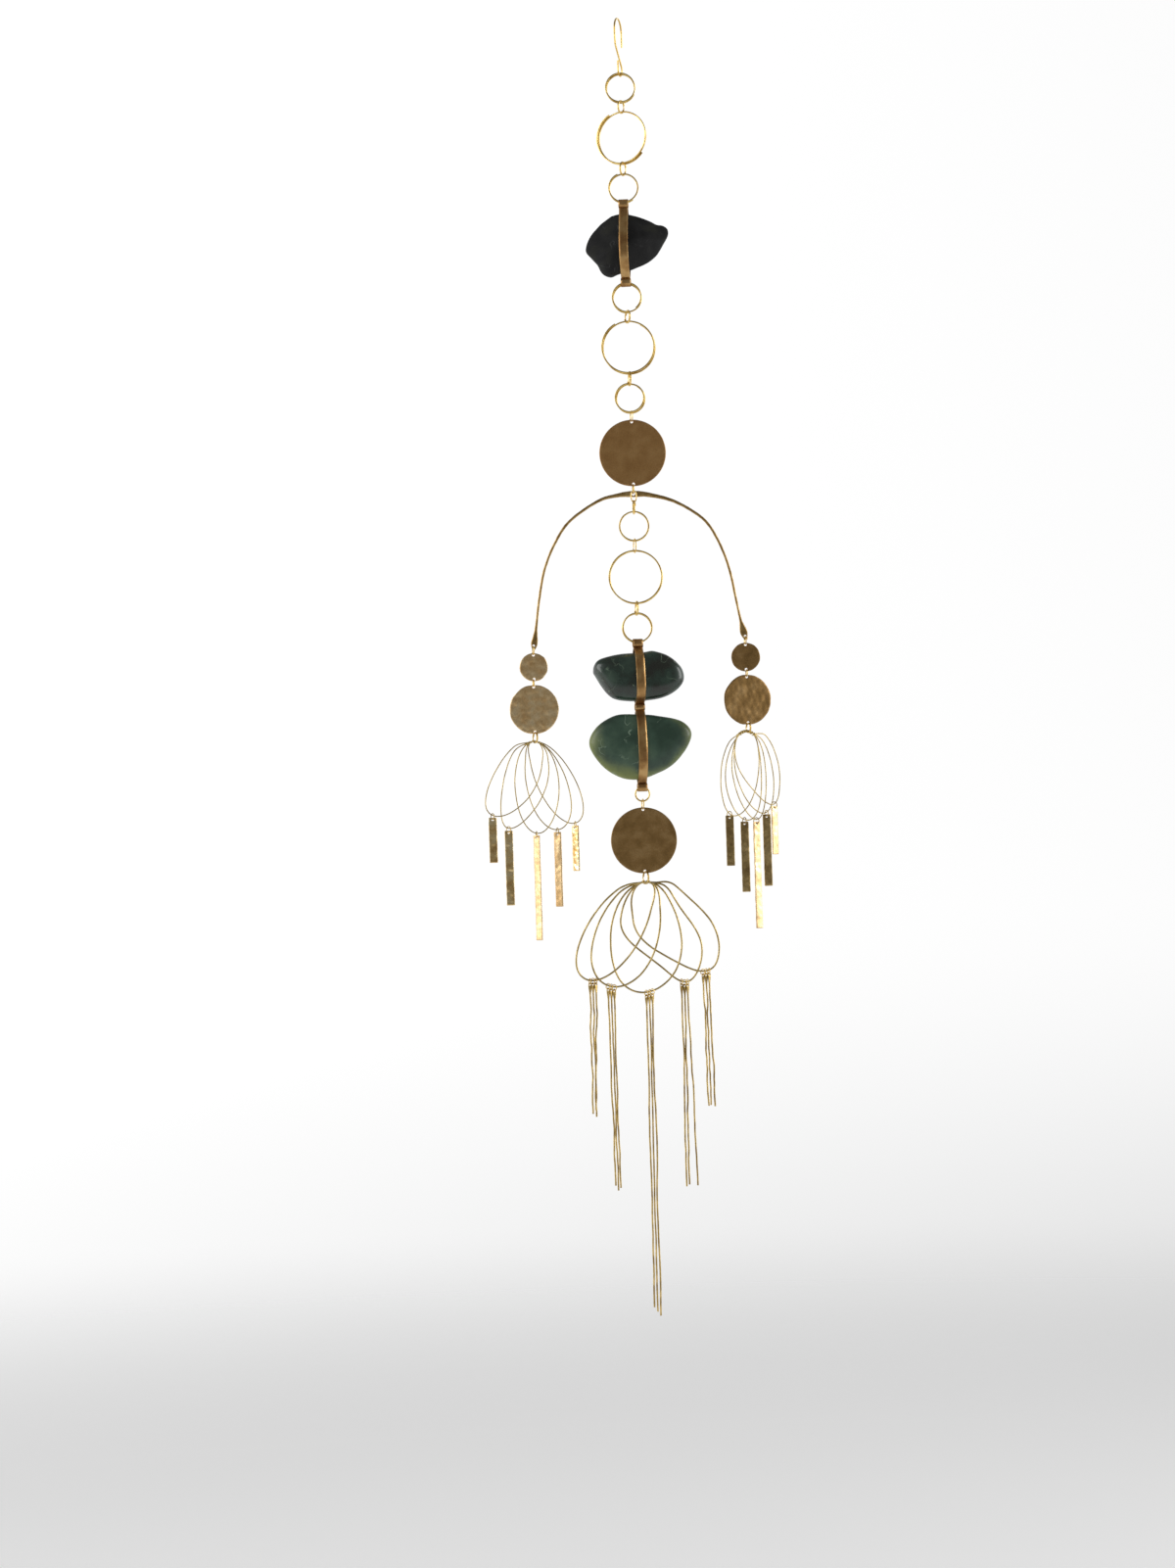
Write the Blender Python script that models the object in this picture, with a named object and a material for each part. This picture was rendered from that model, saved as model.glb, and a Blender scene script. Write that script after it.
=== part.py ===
"""A hanging mobile of brass, bronze and river stones.

A chain of split rings carries a black stone, a bronze disc and an arched yoke. Each end of the yoke
holds two discs and a small lotus of wire petals with flat strips. Under its middle hang two green
stones in one strap cradle, a second bronze disc and a large lotus with long fringe wires.

The frame is +Z up and +X right, with the front towards -Y. The origin is the top of the inside of
the hook's upper bend, where it bears on what it hangs from. All sizes below are in millimetres, and
MM turns them to metres.
"""

from math import atan2, cos, hypot, pi, radians, sin

import bmesh
import bpy
from mathutils import Matrix, Vector

MM = 0.001
GAP = 0.3  # air left where one piece rests on another

# The hook
HOOK_WIRE = 0.7  # radius, as are all the wires below
HOOK_TOP_INSIDE = 9.0
HOOK_TOP_TURN = 16.0  # degrees that its upper bend is turned about the vertical
HOOK_TAIL = 21.0
HOOK_LOW_BEND = 4.2
HOOK_LOW_CENTRE = (0.6, -38.9)
HOOK_LOW_TURN = 13.0
HOOK_TIP = 31.7

# Split rings: two turns of wire side by side, stepping from one to the other opposite the seam
RING_WIRE = 0.65
RING_SPREAD = 0.7  # from the ring's middle to the middle of either turn
SMALL_RING, LARGE_RING = 23.5, 41.5  # outside diameters
RING_STEP = 22.5  # degrees round a ring that one straight piece of it spans
# Each ring's middle below the hook, its size, how many steps round from the right its seam is, and
# its turn about the vertical in degrees
CHAIN = {
    "small_ring_1": (52.3, SMALL_RING, 0, 0),
    "large_ring_1": (90.1, LARGE_RING, 5, -24),
    "small_ring_2": (128.6, SMALL_RING, 6, 0),
    "small_ring_3": (212.3, SMALL_RING, -3, 0),
    "large_ring_2": (250.1, LARGE_RING, 5, 0),
    "small_ring_4": (289.0, SMALL_RING, 3, 0),
    "small_ring_5": (386.6, SMALL_RING, 6, 0),
    "large_ring_3": (425.4, LARGE_RING, 3, 0),
    "small_ring_6": (464.1, SMALL_RING, -1, 0),
}
CHAIN_ACROSS = 0.6  # how far right of the hook the chain's middle hangs

LINK_WIRE = 0.48  # jump rings
# For each jump ring: the split rings above and below it, and its turn about the vertical in degrees
JUMP_RINGS = {
    "jump_ring_1": ("small_ring_1", "large_ring_1", -27),
    "jump_ring_2": ("large_ring_1", "small_ring_2", -24),
    "jump_ring_3": ("small_ring_3", "large_ring_2", 20),
    "jump_ring_4": ("large_ring_2", "small_ring_4", 8),
    "jump_ring_5": ("small_ring_5", "large_ring_3", 12),
    "jump_ring_6": ("large_ring_3", "small_ring_6", 16),
}
SMALL_LINK, SMALL_LINK_WIRE = 2.25, 0.4  # those that hold strips and fringe wires

# Stones: closed outlines in the XZ plane about each middle, seen from the front
BLACK_STONE = {
    "centre": (1.8, -171.8),
    "thickness": 23.0,
    "outline": [
        (-5.3, 24.4), (4.5, 24.0), (15.5, 20.4), (28.2, 15.2), (32.3, 8.2), (29.7, 1.6), (20.2, -11.4),
        (6.2, -18.6), (-5.3, -21.1), (-14.0, -24.4), (-21.0, -19.2), (-26.8, -8.1), (-32.3, 2.1),
        (-27.2, 11.9), (-15.0, 22.5),
    ],
}
UPPER_JADE = {
    "centre": (0.3, -501.2),
    "thickness": 24.0,
    "outline": [
        (-35.1, 4.8), (-30.5, 13.4), (-14.8, 17.5), (3.8, 18.4), (12.5, 19.1), (24.7, 14.4), (33.7, 4.5),
        (34.0, -6.1), (23.2, -15.0), (5.7, -19.1), (-15.9, -17.8), (-26.3, -11.6), (-33.9, 0.4),
    ],
}
LOWER_JADE = {
    "centre": (0.2, -554.9),
    "thickness": 21.0,
    "outline": [
        (-39.2, 2.7), (-33.1, 16.1), (-19.3, 24.3), (-2.5, 25.0), (14.8, 23.2), (31.4, 19.0), (39.2, 10.1),
        (35.7, -1.6), (24.7, -14.2), (10.3, -21.8), (-2.8, -25.2), (-16.4, -22.9), (-30.4, -13.1),
    ],
}
STONE_FULLNESS = 2.3  # 2 is an ellipse in section, more is flatter with blunter edges
OUTLINE_STEPS = 2  # pieces that a stone's outline has between two of its points

# Strap cradles: flat strip bent round the stones, with a rolled barrel at each end
STRAP_WIDTH, STRAP_THICK = 6.8, 0.8
NECK_ANGLE = 70  # where the straps leave a barrel, in degrees above or below its side
STRAP_STEPS = 12  # straight pieces of a strap's side view over one stone
# Each barrel's height and inside radius, from the top
BLACK_CRADLE = {
    "across": 0.2,
    "turn": -6.0,
    "barrels": [(-140.6, 2.7), (-200.5, 2.7)],
    "stones": [BLACK_STONE],
}
JADE_CRADLE = {
    "across": 0.6,
    "turn": 8.0,
    "barrels": [(-476.0, 2.7), (-524.6, 2.2), (-585.7, 2.6)],
    "stones": [UPPER_JADE, LOWER_JADE],
}
OVAL_RING, OVAL_RING_DROP = 11.9, 591.0  # outside diameter, and its middle below the hook

# Discs: middle (across, height), radius, and for the small ones the turn in degrees
DISC_THICK = 0.9
DISC_HOLE, HOLE_INSET = 1.0, 1.7  # radius, and from the rim to the hole's middle
UPPER_DISC, LOWER_DISC = ((1.2, -330.7), 25.4), ((0.6, -626.3), 25.2)
CENTRE_LINK_ACROSS = 1.1
LEFT_DISCS = {
    "left_small_disc": ((-79.3, -491.7), 10.9, 0),
    "left_medium_disc": ((-79.9, -524.0), 18.9, 0),
}
RIGHT_DISCS = {
    "right_small_disc": ((82.6, -489.0), 11.1, 0),
    "right_medium_disc": ((82.9, -521.6), 19.2, 18),
}

# The arch: middle line from the left tip to the right tip, with the width in front and the depth
ARCH = [
    (-78.9, -478.4, 2.4, 0.9), (-78.3, -473.6, 5.2, 1.0), (-77.2, -467.0, 3.2, 1.3),
    (-76.3, -460.0, 2.0, 1.8), (-73.2, -438.6, 1.9, 1.9), (-68.8, -417.9, 1.9, 1.9),
    (-60.2, -397.8, 2.0, 2.0), (-48.2, -381.1, 2.1, 2.0), (-26.8, -366.9, 2.3, 2.0),
    (-12.5, -362.9, 3.0, 1.9), (0.8, -362.0, 4.8, 1.8), (13.6, -363.2, 3.4, 1.9),
    (31.4, -368.4, 2.4, 2.0), (49.0, -378.9, 2.1, 2.0), (58.8, -389.2, 2.0, 2.0),
    (67.4, -406.7, 1.9, 1.9), (72.7, -423.8, 1.9, 1.9), (76.3, -443.3, 1.9, 1.9),
    (79.4, -460.0, 2.1, 1.8), (81.6, -469.6, 5.6, 1.1), (83.3, -475.8, 2.6, 0.9),
]
ARCH_STEPS = 1  # straight pieces between two stations
ARCH_HOLES = {"left": (-78.9, -475.4), "right": (82.7, -473.0)}
ARCH_LINK = (0.8, -354.65)  # across, and the height of its highest wire
YOKE_LINK = {"centre": (1.0, -2.1, -364.0), "half_width": 2.05, "half_height": 4.4}

# Lotus petals: each is an egg-shaped wire loop that leans from the bundle at its top. The rows
# give the lean in degrees, the length, the width, the fullness, the sway and the bow. The loads
# are how far across what hangs from each petal hangs.
LOTUS = {
    "left_lotus": {
        "top": (-80.8, -548.3), "wire": 0.42, "pitch": 0.9, "fan": 2.6, "turn": 0,
        "roof": 8.0, "bundle": 7.0,
        "loads": (-114.2, -102.3, -81.2, -65.2, -51.5),
        "petals": [
            (-32.2, 64.9, 32.6, -0.01, 2.2, 0), (-18.6, 69.2, 32.4, -0.20, 2.4, 0),
            (0.8, 70.2, 33.8, -0.04, 0.7, 0), (14.7, 69.9, 30.9, 0.13, 0, 0),
            (26.5, 70.1, 28.0, 0.11, -0.1, 0),
        ],
    },
    "right_lotus": {
        "top": (81.1, -545.5), "wire": 0.42, "pitch": 0.9, "fan": 2.6, "turn": 30,
        "roof": 8.0, "bundle": 7.0,
        "loads": (65.9, 77.5, 86.9, 95.2, 101.6),
        "petals": [
            (-15.4, 66.4, 33.6, -0.05, -0.7, -0.4), (-2.2, 68.0, 32.4, 0.03, -3.6, 0),
            (6.2, 68.0, 29.7, -0.16, -1.8, 0), (14.8, 65.1, 32.8, -0.11, -0.5, 0),
            (25.6, 62.3, 34.0, -0.30, 0.8, -0.5),
        ],
    },
    "centre_lotus": {
        "top": (1.4, -658.1), "wire": 0.7, "pitch": 1.5, "fan": 3.5, "turn": 0,
        "roof": 14.0, "bundle": 3.5,
        "loads": (-41.7, -27.9, 1.1, 28.2, 45.0),
        "petals": [
            (-35.1, 87.3, 39.8, 0.07, 0.1, -0.2), (-22.4, 84.1, 47.1, 0.12, 0.6, -0.2),
            (-4.3, 84.4, 54.2, 0.10, 1.7, -0.8), (21.6, 82.5, 46.7, -0.23, -4.3, -4.6),
            (35.4, 83.1, 47.9, -0.14, -3.2, -2.8),
        ],
    },
}
# How far round a petal from where its load hangs the wire's straight pieces meet, in radians
PETAL_BREAKS = (0.12, 0.5, 1.0, 1.5, 2.05, 2.6)
PETAL_BLEND = 0.9  # how far round the loop, in radians, the petals follow the bundle's roof

# Strips: length, and turn about the vertical in degrees, from left to right
STRIP_WIDTH, STRIP_THICK, STRIP_INSET = 6.2, 1.0, 1.4
STRIPS = {
    "left": [(34.4, 6), (57.0, 0), (80.0, -38), (57.0, -26), (34.8, -34)],
    "right": [(38.2, 0), (53.6, 6), (81.3, 34), (54.8, 6), (37.1, 38)],
}

# Fringe wires: where the three ends of each group are, as across and height
FRINGE_WIRE = 0.7
FRINGE_SPACING, FRINGE_TURN, FRINGE_LINK_TURN = 2.3, 30, 12
FRINGE_STEPS = 4  # straight pieces of a wire
FRINGE_SWAY, FRINGE_FAN = 0.4, 2.4  # how far a wire waves, and its end's distance from its neighbour's
PADDLE_LENGTH, PADDLE_WIDTH, PADDLE_THICK = 9.0, 2.6, 0.9
FRINGE = [
    ((-44.6, -832.9), (-42.1, -835.4), (-42.5, -830.5)),
    ((-29.1, -888.3), (-27.2, -892.3), (-25.2, -890.6)),
    ((-2.5, -982.2), (0.0, -985.9), (2.2, -989.4)),
    ((25.1, -891.3), (27.3, -890.1), (33.7, -891.2)),
    ((44.1, -830.6), (45.7, -830.3), (48.9, -831.5)),
]

# Plain finishes: colour, roughness, metallic
FINISHES = {
    "bright_brass": ((0.78, 0.56, 0.20), 0.25, 1.0),
    "aged_bronze": ((0.22, 0.13, 0.06), 0.40, 1.0),
    "dark_bronze": ((0.13, 0.08, 0.04), 0.45, 1.0),
    "pale_brass": ((0.62, 0.44, 0.22), 0.35, 1.0),
    "strap_bronze": ((0.45, 0.27, 0.12), 0.35, 1.0),
    "olive_wire": ((0.35, 0.26, 0.10), 0.40, 1.0),
    "strip_brass": ((0.70, 0.50, 0.24), 0.30, 1.0),
    "fringe_brass": ((0.45, 0.32, 0.12), 0.35, 1.0),
    "black_stone": ((0.02, 0.02, 0.02), 0.60, 0.0),
    "green_jade": ((0.07, 0.12, 0.08), 0.30, 0.0),
}


def clear_scene():
    for obj in list(bpy.data.objects):
        bpy.data.objects.remove(obj, do_unlink=True)


def new_collection(name):
    group = bpy.data.collections.new(name)
    bpy.context.scene.collection.children.link(group)
    return group


def make_finishes():
    """One Principled material for each finish."""
    made = {}
    for name, (colour, roughness, metallic) in FINISHES.items():
        mat = bpy.data.materials.new(name)
        mat.use_nodes = True
        shader = mat.node_tree.nodes["Principled BSDF"]
        shader.inputs["Base Color"].default_value = (*colour, 1.0)
        shader.inputs["Roughness"].default_value = roughness
        shader.inputs["Metallic"].default_value = metallic
        made[name] = mat
    return made


def add_object(name, data, finish):
    """Puts a mesh or curve in the mobile's collection with its finish."""
    obj = bpy.data.objects.new(name, data)
    MOBILE.objects.link(obj)
    obj.data.materials.clear()
    obj.data.materials.append(MATERIALS[finish])
    return obj


def wire(name, points, radius, finish, closed=False, sides=4):
    """A round wire along points in millimetres, as a curve with a bevel."""
    curve = bpy.data.curves.new(name, "CURVE")
    curve.dimensions = "3D"
    curve.bevel_depth = radius * MM
    curve.bevel_resolution = (sides - 4) // 2
    curve.use_fill_caps = not closed
    spline = curve.splines.new("POLY")
    spline.points.add(len(points) - 1)
    for place, point in zip(spline.points, points):
        place.co = (*(Vector(point) * MM), 1.0)
    spline.use_cyclic_u = closed
    return add_object(name, curve, finish)


def as_mesh(obj, finish):
    """Replaces an object by a plain mesh of its evaluated shape, with its caps welded."""
    bpy.context.view_layer.update()
    evaluated = obj.evaluated_get(bpy.context.evaluated_depsgraph_get())
    mesh = bpy.data.meshes.new_from_object(evaluated)
    mesh.transform(obj.matrix_world)
    shape = bmesh.new()
    shape.from_mesh(mesh)
    bmesh.ops.remove_doubles(shape, verts=shape.verts, dist=1e-6)
    bmesh.ops.recalc_face_normals(shape, faces=shape.faces)
    shape.to_mesh(mesh)
    shape.free()
    name = obj.name
    bpy.data.objects.remove(obj, do_unlink=True)
    return add_object(name, mesh, finish)


def fuse(name, pieces, finish):
    """Joins pieces that touch into one closed solid."""
    pieces = [as_mesh(piece, finish) for piece in pieces]
    body = pieces[0]
    for other in pieces[1:]:
        joint = body.modifiers.new("Join", "BOOLEAN")
        joint.operation = "UNION"
        joint.solver = "EXACT"
        joint.object = other
    solid = as_mesh(body, finish)
    for other in pieces[1:]:
        bpy.data.objects.remove(other, do_unlink=True)
    solid.name = name
    return solid


def bore(obj, centre, radius, length, turn=0.0):
    """Cuts a round hole along Y, or along Y turned about the vertical."""
    bpy.ops.mesh.primitive_cylinder_add(
        vertices=10,
        radius=radius * MM,
        depth=length * MM,
        location=Vector(centre) * MM,
        rotation=(pi / 2, 0, turn),
    )
    cutter = bpy.context.active_object
    cutter.name = f"{obj.name}_hole_cutter"
    for group in list(cutter.users_collection):
        group.objects.unlink(cutter)
    CUTTERS.objects.link(cutter)
    cutter.hide_render = True
    cutter.display_type = "WIRE"
    cut = obj.modifiers.new("Hole", "BOOLEAN")
    cut.operation = "DIFFERENCE"
    cut.solver = "EXACT"
    cut.object = cutter


def round_link(name, centre, radius, wire_radius, finish, turn=0.0, steps=12, sides=4):
    """A jump ring that stands on edge to the front, turned about the vertical in degrees."""
    bpy.ops.mesh.primitive_torus_add(
        major_segments=steps,
        minor_segments=sides,
        major_radius=radius * MM,
        minor_radius=wire_radius * MM,
        location=Vector(centre) * MM,
        rotation=(0, pi / 2, radians(turn)),
    )
    torus = bpy.context.active_object
    for group in list(torus.users_collection):
        group.objects.unlink(torus)
    MOBILE.objects.link(torus)
    torus.name = name
    torus.data.materials.append(MATERIALS[finish])
    return torus


def smooth_closed(points, steps):
    """A closed Catmull-Rom curve through points, with steps pieces between two of them."""
    count = len(points)
    path = []
    for index in range(count):
        before, start, end, after = (Vector(points[(index + k) % count]) for k in (-1, 0, 1, 2))
        for step in range(steps):
            path.append(catmull_rom(before, start, end, after, step / steps))
    return path


def smooth_open(points, steps):
    """An open Catmull-Rom curve through points, which may hold widths beside places."""
    rows = [Vector(point) for point in points]
    rows = [2 * rows[0] - rows[1], *rows, 2 * rows[-1] - rows[-2]]
    path = []
    for index in range(1, len(rows) - 2):
        for step in range(steps):
            path.append(catmull_rom(*rows[index - 1 : index + 3], step / steps))
    path.append(rows[-2])
    return path


def catmull_rom(before, start, end, after, t):
    slope = (end - before) * 0.5
    next_slope = (after - start) * 0.5
    rise = t * t * (3 - 2 * t)
    return (
        start * (1 - rise)
        + end * rise
        + slope * (t * (1 - t) * (1 - t))
        - next_slope * (t * t * (1 - t))
    )


def smooth_step(value):
    value = max(0.0, min(1.0, value))
    return value * value * (3 - 2 * value)


def arc(centre, radius, start, end, steps):
    """Points of an arc in a plane of (across, height), with angles in degrees."""
    angles = [radians(start + (end - start) * step / steps) for step in range(steps + 1)]
    return [(centre[0] + radius * cos(a), centre[1] + radius * sin(a)) for a in angles]


def turned(across, depth, turn):
    """A point's X and Y after a turn in degrees about the vertical."""
    a = radians(turn)
    return across * cos(a) - depth * sin(a), across * sin(a) + depth * cos(a)


def make_hook():
    """The upper bend runs over to the back, and the lower bend comes forward under the chain."""
    bend = HOOK_TOP_INSIDE + HOOK_WIRE
    points = []
    # Seen from the side, with the back at positive depth
    upper = [(bend, -HOOK_TAIL), *arc((0, -HOOK_TOP_INSIDE), bend, 0, 180, 12), (-bend, -17.0)]
    for depth, height in upper:
        x, y = turned(0, depth, -HOOK_TOP_TURN)
        points.append((x, y, height))
    middle, low = HOOK_LOW_CENTRE
    lower = [*arc((0, low), HOOK_LOW_BEND, 0, -180, 8), (-HOOK_LOW_BEND, -HOOK_TIP)]
    for depth, height in lower:
        x, y = turned(0, depth, -HOOK_LOW_TURN)
        points.append((x + middle, y, height))
    wire("s_hook", points, HOOK_WIRE, "bright_brass", sides=6)


def make_split_ring(name, drop, outside, seam, turn):
    """Two flat turns of wire. The path steps from the back turn to the front one at the seam."""
    radius = outside / 2 - RING_WIRE
    around = round(360 / RING_STEP) - 1
    points = []
    for step in range(-around, around + 1):
        depth = RING_SPREAD * max(-1, min(1, step))
        a = radians((seam + step) * RING_STEP)
        x, y = turned(radius * cos(a), depth, turn)
        points.append((CHAIN_ACROSS + x, y, -drop + radius * sin(a)))
    wire(name, points, RING_WIRE, "bright_brass")


def link_between(name, upper, lower, turn):
    """A jump ring round the lowest wire of one split ring and the highest wire of the next."""
    bottom = -CHAIN[upper][0] - CHAIN[upper][1] / 2 + RING_WIRE
    top = -CHAIN[lower][0] + CHAIN[lower][1] / 2 - RING_WIRE
    radius = hypot(RING_SPREAD, (bottom - top) / 2) + LINK_WIRE + RING_WIRE + GAP
    centre = (CHAIN_ACROSS, 0, (bottom + top) / 2)
    round_link(name, centre, radius, LINK_WIRE, "bright_brass", turn)


def stone_reach(stone):
    """A function that gives how deep the stone is behind a point of the front view."""
    outline = [Vector(p) for p in stone["outline"]]
    path = smooth_closed(outline, OUTLINE_STEPS)
    angles = sorted((atan2(p.y, p.x), p.length) for p in path)
    angles = [(angles[-1][0] - 2 * pi, angles[-1][1]), *angles, (angles[0][0] + 2 * pi, angles[0][1])]

    def depth(across, height):
        angle, length = atan2(height, across), hypot(across, height)
        for (a, reach_a), (b, reach_b) in zip(angles, angles[1:]):
            if a <= angle <= b:
                share = length / (reach_a + (reach_b - reach_a) * (angle - a) / max(b - a, 1e-9))
                break
        if share >= 1:
            return 0.0
        return stone["thickness"] / 2 * (1 - share**STONE_FULLNESS) ** (1 / STONE_FULLNESS)

    return depth


def make_stone(name, stone, finish):
    """A water-worn pebble: its outline shrinks towards the front and the back like a lens."""
    outline = smooth_closed(stone["outline"], OUTLINE_STEPS)
    middle = Vector((stone["centre"][0], 0, stone["centre"][1]))
    shape = bmesh.new()
    rings = []
    for latitude in (-62, -36, 0, 36, 62):
        share = cos(radians(latitude)) ** (2 / STONE_FULLNESS)
        depth = abs(sin(radians(latitude))) ** (2 / STONE_FULLNESS) * stone["thickness"] / 2
        depth = depth if latitude > 0 else -depth
        places = [middle + Vector((p.x * share, depth, p.y * share)) for p in outline]
        rings.append([shape.verts.new(place * MM) for place in places])
    for near, far in zip(rings, rings[1:]):
        for index in range(len(outline)):
            after = (index + 1) % len(outline)
            shape.faces.new((near[index], near[after], far[after], far[index]))
    for ring, side in ((rings[0], -1), (rings[-1], 1)):
        pole = shape.verts.new((middle + Vector((0, side * stone["thickness"] / 2, 0))) * MM)
        for index in range(len(outline)):
            shape.faces.new((ring[index], ring[(index + 1) % len(outline)], pole))
    bmesh.ops.recalc_face_normals(shape, faces=shape.faces)
    mesh = bpy.data.meshes.new(name)
    shape.to_mesh(mesh)
    shape.free()
    mesh.shade_smooth()
    return add_object(name, mesh, finish)


def cradle_profile(cradle, thick):
    """For each stone, half the cradle's depth at a height: its inside (thick 0) or its outside."""
    a = radians(cradle["turn"])
    shifts = [STRAP_WIDTH * (step / 10 - 1) for step in range(21)]

    def half_depth(stone, reach, height):
        x, z = stone["centre"]
        tallest = max(abs(p[1]) for p in stone["outline"])
        squeeze = tallest / (tallest + GAP + thick)
        depths = [0.0]
        for shift in shifts:
            behind = reach(cradle["across"] + shift - x, (height - z) * squeeze)
            for depth in (behind, -behind) if behind else ():
                # The stone's surface in the turned strap's own frame
                if abs(shift * cos(a) + depth * sin(a)) <= STRAP_WIDTH / 2 + GAP:
                    depths.append(abs(depth * cos(a) - shift * sin(a)))
        return max(depths)

    reaches = [(stone, stone_reach(stone)) for stone in cradle["stones"]]
    return [lambda height, s=stone, r=reach: half_depth(s, r, height) for stone, reach in reaches]


def stone_span(stone, half_depth):
    """The heights between which the cradle stands off the middle plane for this stone."""
    z = stone["centre"][1]
    high, low = z, z
    while half_depth(high) > 0:
        high += 0.1
    while half_depth(low) > 0:
        low -= 0.1
    return high, low


def strap_side(stone, half_depth, clearance):
    """The strap's side view over one stone, from top to bottom, outside the curve it follows."""
    high, low = stone_span(stone, half_depth)
    middle, reach = (high + low) / 2, (high - low) / 2
    swell = 1 / cos(pi / (2 * STRAP_STEPS))  # so that the straight pieces clear the stone too
    side = []
    for step in range(STRAP_STEPS + 1):
        offset = reach * cos(pi * step / STRAP_STEPS)
        side.append((half_depth(middle + offset) * swell + clearance, middle + offset * swell))
    return side


def make_cradle(name, cradle):
    """The strap's side view, as one outline with holes for the barrels and the stones."""
    outside = cradle_profile(cradle, STRAP_THICK)
    inside = cradle_profile(cradle, 0)
    right = []
    for index, (height, hollow) in enumerate(cradle["barrels"]):
        first, last = index == 0, index == len(cradle["barrels"]) - 1
        start, end = (90 if first else NECK_ANGLE), (-90 if last else -NECK_ANGLE)
        right += arc((0, height), hollow + STRAP_THICK, start, end, 6)
        if last:
            break
        right += strap_side(cradle["stones"][index], outside[index], GAP + STRAP_THICK)[1:-1]
    outline = right + [(-depth, height) for depth, height in reversed(right)][1:-1]
    holes = [arc((0, height), hollow, 0, 330, 11) for height, hollow in cradle["barrels"]]
    for stone, depth in zip(cradle["stones"], inside):
        side = strap_side(stone, depth, GAP)
        holes.append(side + [(-half, height) for half, height in reversed(side)])
    curve = bpy.data.curves.new(name, "CURVE")
    curve.dimensions = "2D"
    curve.fill_mode = "BOTH"
    curve.extrude = STRAP_WIDTH / 2 * MM
    for points in (outline, *holes):
        spline = curve.splines.new("POLY")
        spline.points.add(len(points) - 1)
        for place, point in zip(spline.points, points):
            place.co = (point[0] * MM, point[1] * MM, 0, 1)
        spline.use_cyclic_u = True
    strap = add_object(name, curve, "strap_bronze")
    side_view = Matrix(((0, 0, 1), (1, 0, 0), (0, 1, 0))).to_4x4()
    strap.matrix_world = (
        Matrix.Translation((cradle["across"] * MM, 0, 0))
        @ Matrix.Rotation(radians(cradle["turn"]), 4, "Z")
        @ side_view
    )


def make_disc(name, centre, radius, finish, link, hole_across, turn=0.0, sides=22):
    """A thin disc fused with the jump ring above it, and a hole near its lower rim."""
    bpy.ops.mesh.primitive_cylinder_add(
        vertices=sides,
        radius=radius * MM,
        depth=DISC_THICK * MM,
        location=(centre[0] * MM, 0, centre[1] * MM),
        rotation=(pi / 2, 0, radians(turn)),
    )
    plate = bpy.context.active_object
    for group in list(plate.users_collection):
        group.objects.unlink(plate)
    MOBILE.objects.link(plate)
    disc = fuse(name, [plate, link], finish)
    hole = (hole_across, 0, lower_hole(centre, radius))
    bore(disc, hole, DISC_HOLE, 6 * DISC_THICK, radians(turn))


def lower_hole(centre, radius):
    return centre[1] - radius + HOLE_INSET


def upper_hole(centre, radius):
    return centre[1] + radius - HOLE_INSET


def link_in_hole(hole_height, hole_radius):
    """The height of a link's wire that rests on the lower edge of a hole."""
    return hole_height - hole_radius + GAP + LINK_WIRE


def link_on_wire(name, across, wire_height, spread, wire_radius, bottom, finish):
    """A link that hangs on one or two wires and whose own lowest wire is at the given height."""
    room = LINK_WIRE + wire_radius + GAP
    reach = wire_height - bottom
    radius = (reach**2 + spread**2 - room**2) / (2 * (reach - room))
    return round_link(name, (across, 0, bottom + radius), radius, LINK_WIRE, finish)


def link_spanning(name, across, top, bottom, finish):
    """A link whose highest and lowest wires are at the given heights."""
    return round_link(name, (across, 0, (top + bottom) / 2), (top - bottom) / 2, LINK_WIRE, finish)


def make_arch():
    """A rod hammered wide at its middle and into a paddle at each end, swept from its stations."""
    rows = smooth_open(ARCH, ARCH_STEPS)
    sides = 6
    shape = bmesh.new()
    rings = []
    for index, (x, z, width, depth) in enumerate(rows):
        before, after = rows[max(index - 1, 0)], rows[min(index + 1, len(rows) - 1)]
        along = Vector((after[0] - before[0], 0, after[1] - before[1])).normalized()
        across = Vector((along.z, 0, -along.x))
        ring = []
        for side in range(sides):
            a = 2 * pi * side / sides
            place = Vector((x, 0, z)) + across * (cos(a) * width / 2) + Vector((0, sin(a) * depth / 2, 0))
            ring.append(shape.verts.new(place * MM))
        rings.append(ring)
    for near, far in zip(rings, rings[1:]):
        for side in range(sides):
            after = (side + 1) % sides
            shape.faces.new((near[side], near[after], far[after], far[side]))
    shape.faces.new(rings[0])
    shape.faces.new(rings[-1])
    bmesh.ops.recalc_face_normals(shape, faces=shape.faces)
    mesh = bpy.data.meshes.new("arch")
    shape.to_mesh(mesh)
    shape.free()
    rod = add_object("arch_rod", mesh, "aged_bronze")
    middle = ARCH[len(ARCH) // 2]
    link = link_spanning("arch_link", ARCH_LINK[0], ARCH_LINK[1], middle[1] + 0.1, "aged_bronze")
    arch = fuse("arch", [rod, link], "aged_bronze")
    for x, z in ARCH_HOLES.values():
        bore(arch, (x, 0, z), DISC_HOLE, 5)


def make_yoke_link():
    """An oval link in front of the arch, on the arch's own link."""
    x, y, z = YOKE_LINK["centre"]
    wide, tall = YOKE_LINK["half_width"], YOKE_LINK["half_height"]
    angles = [2 * pi * step / 12 for step in range(12)]
    points = [(x + wide * cos(a), y, z + tall * sin(a)) for a in angles]
    wire("yoke_link", points, LINK_WIRE, "bright_brass", closed=True)


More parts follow.
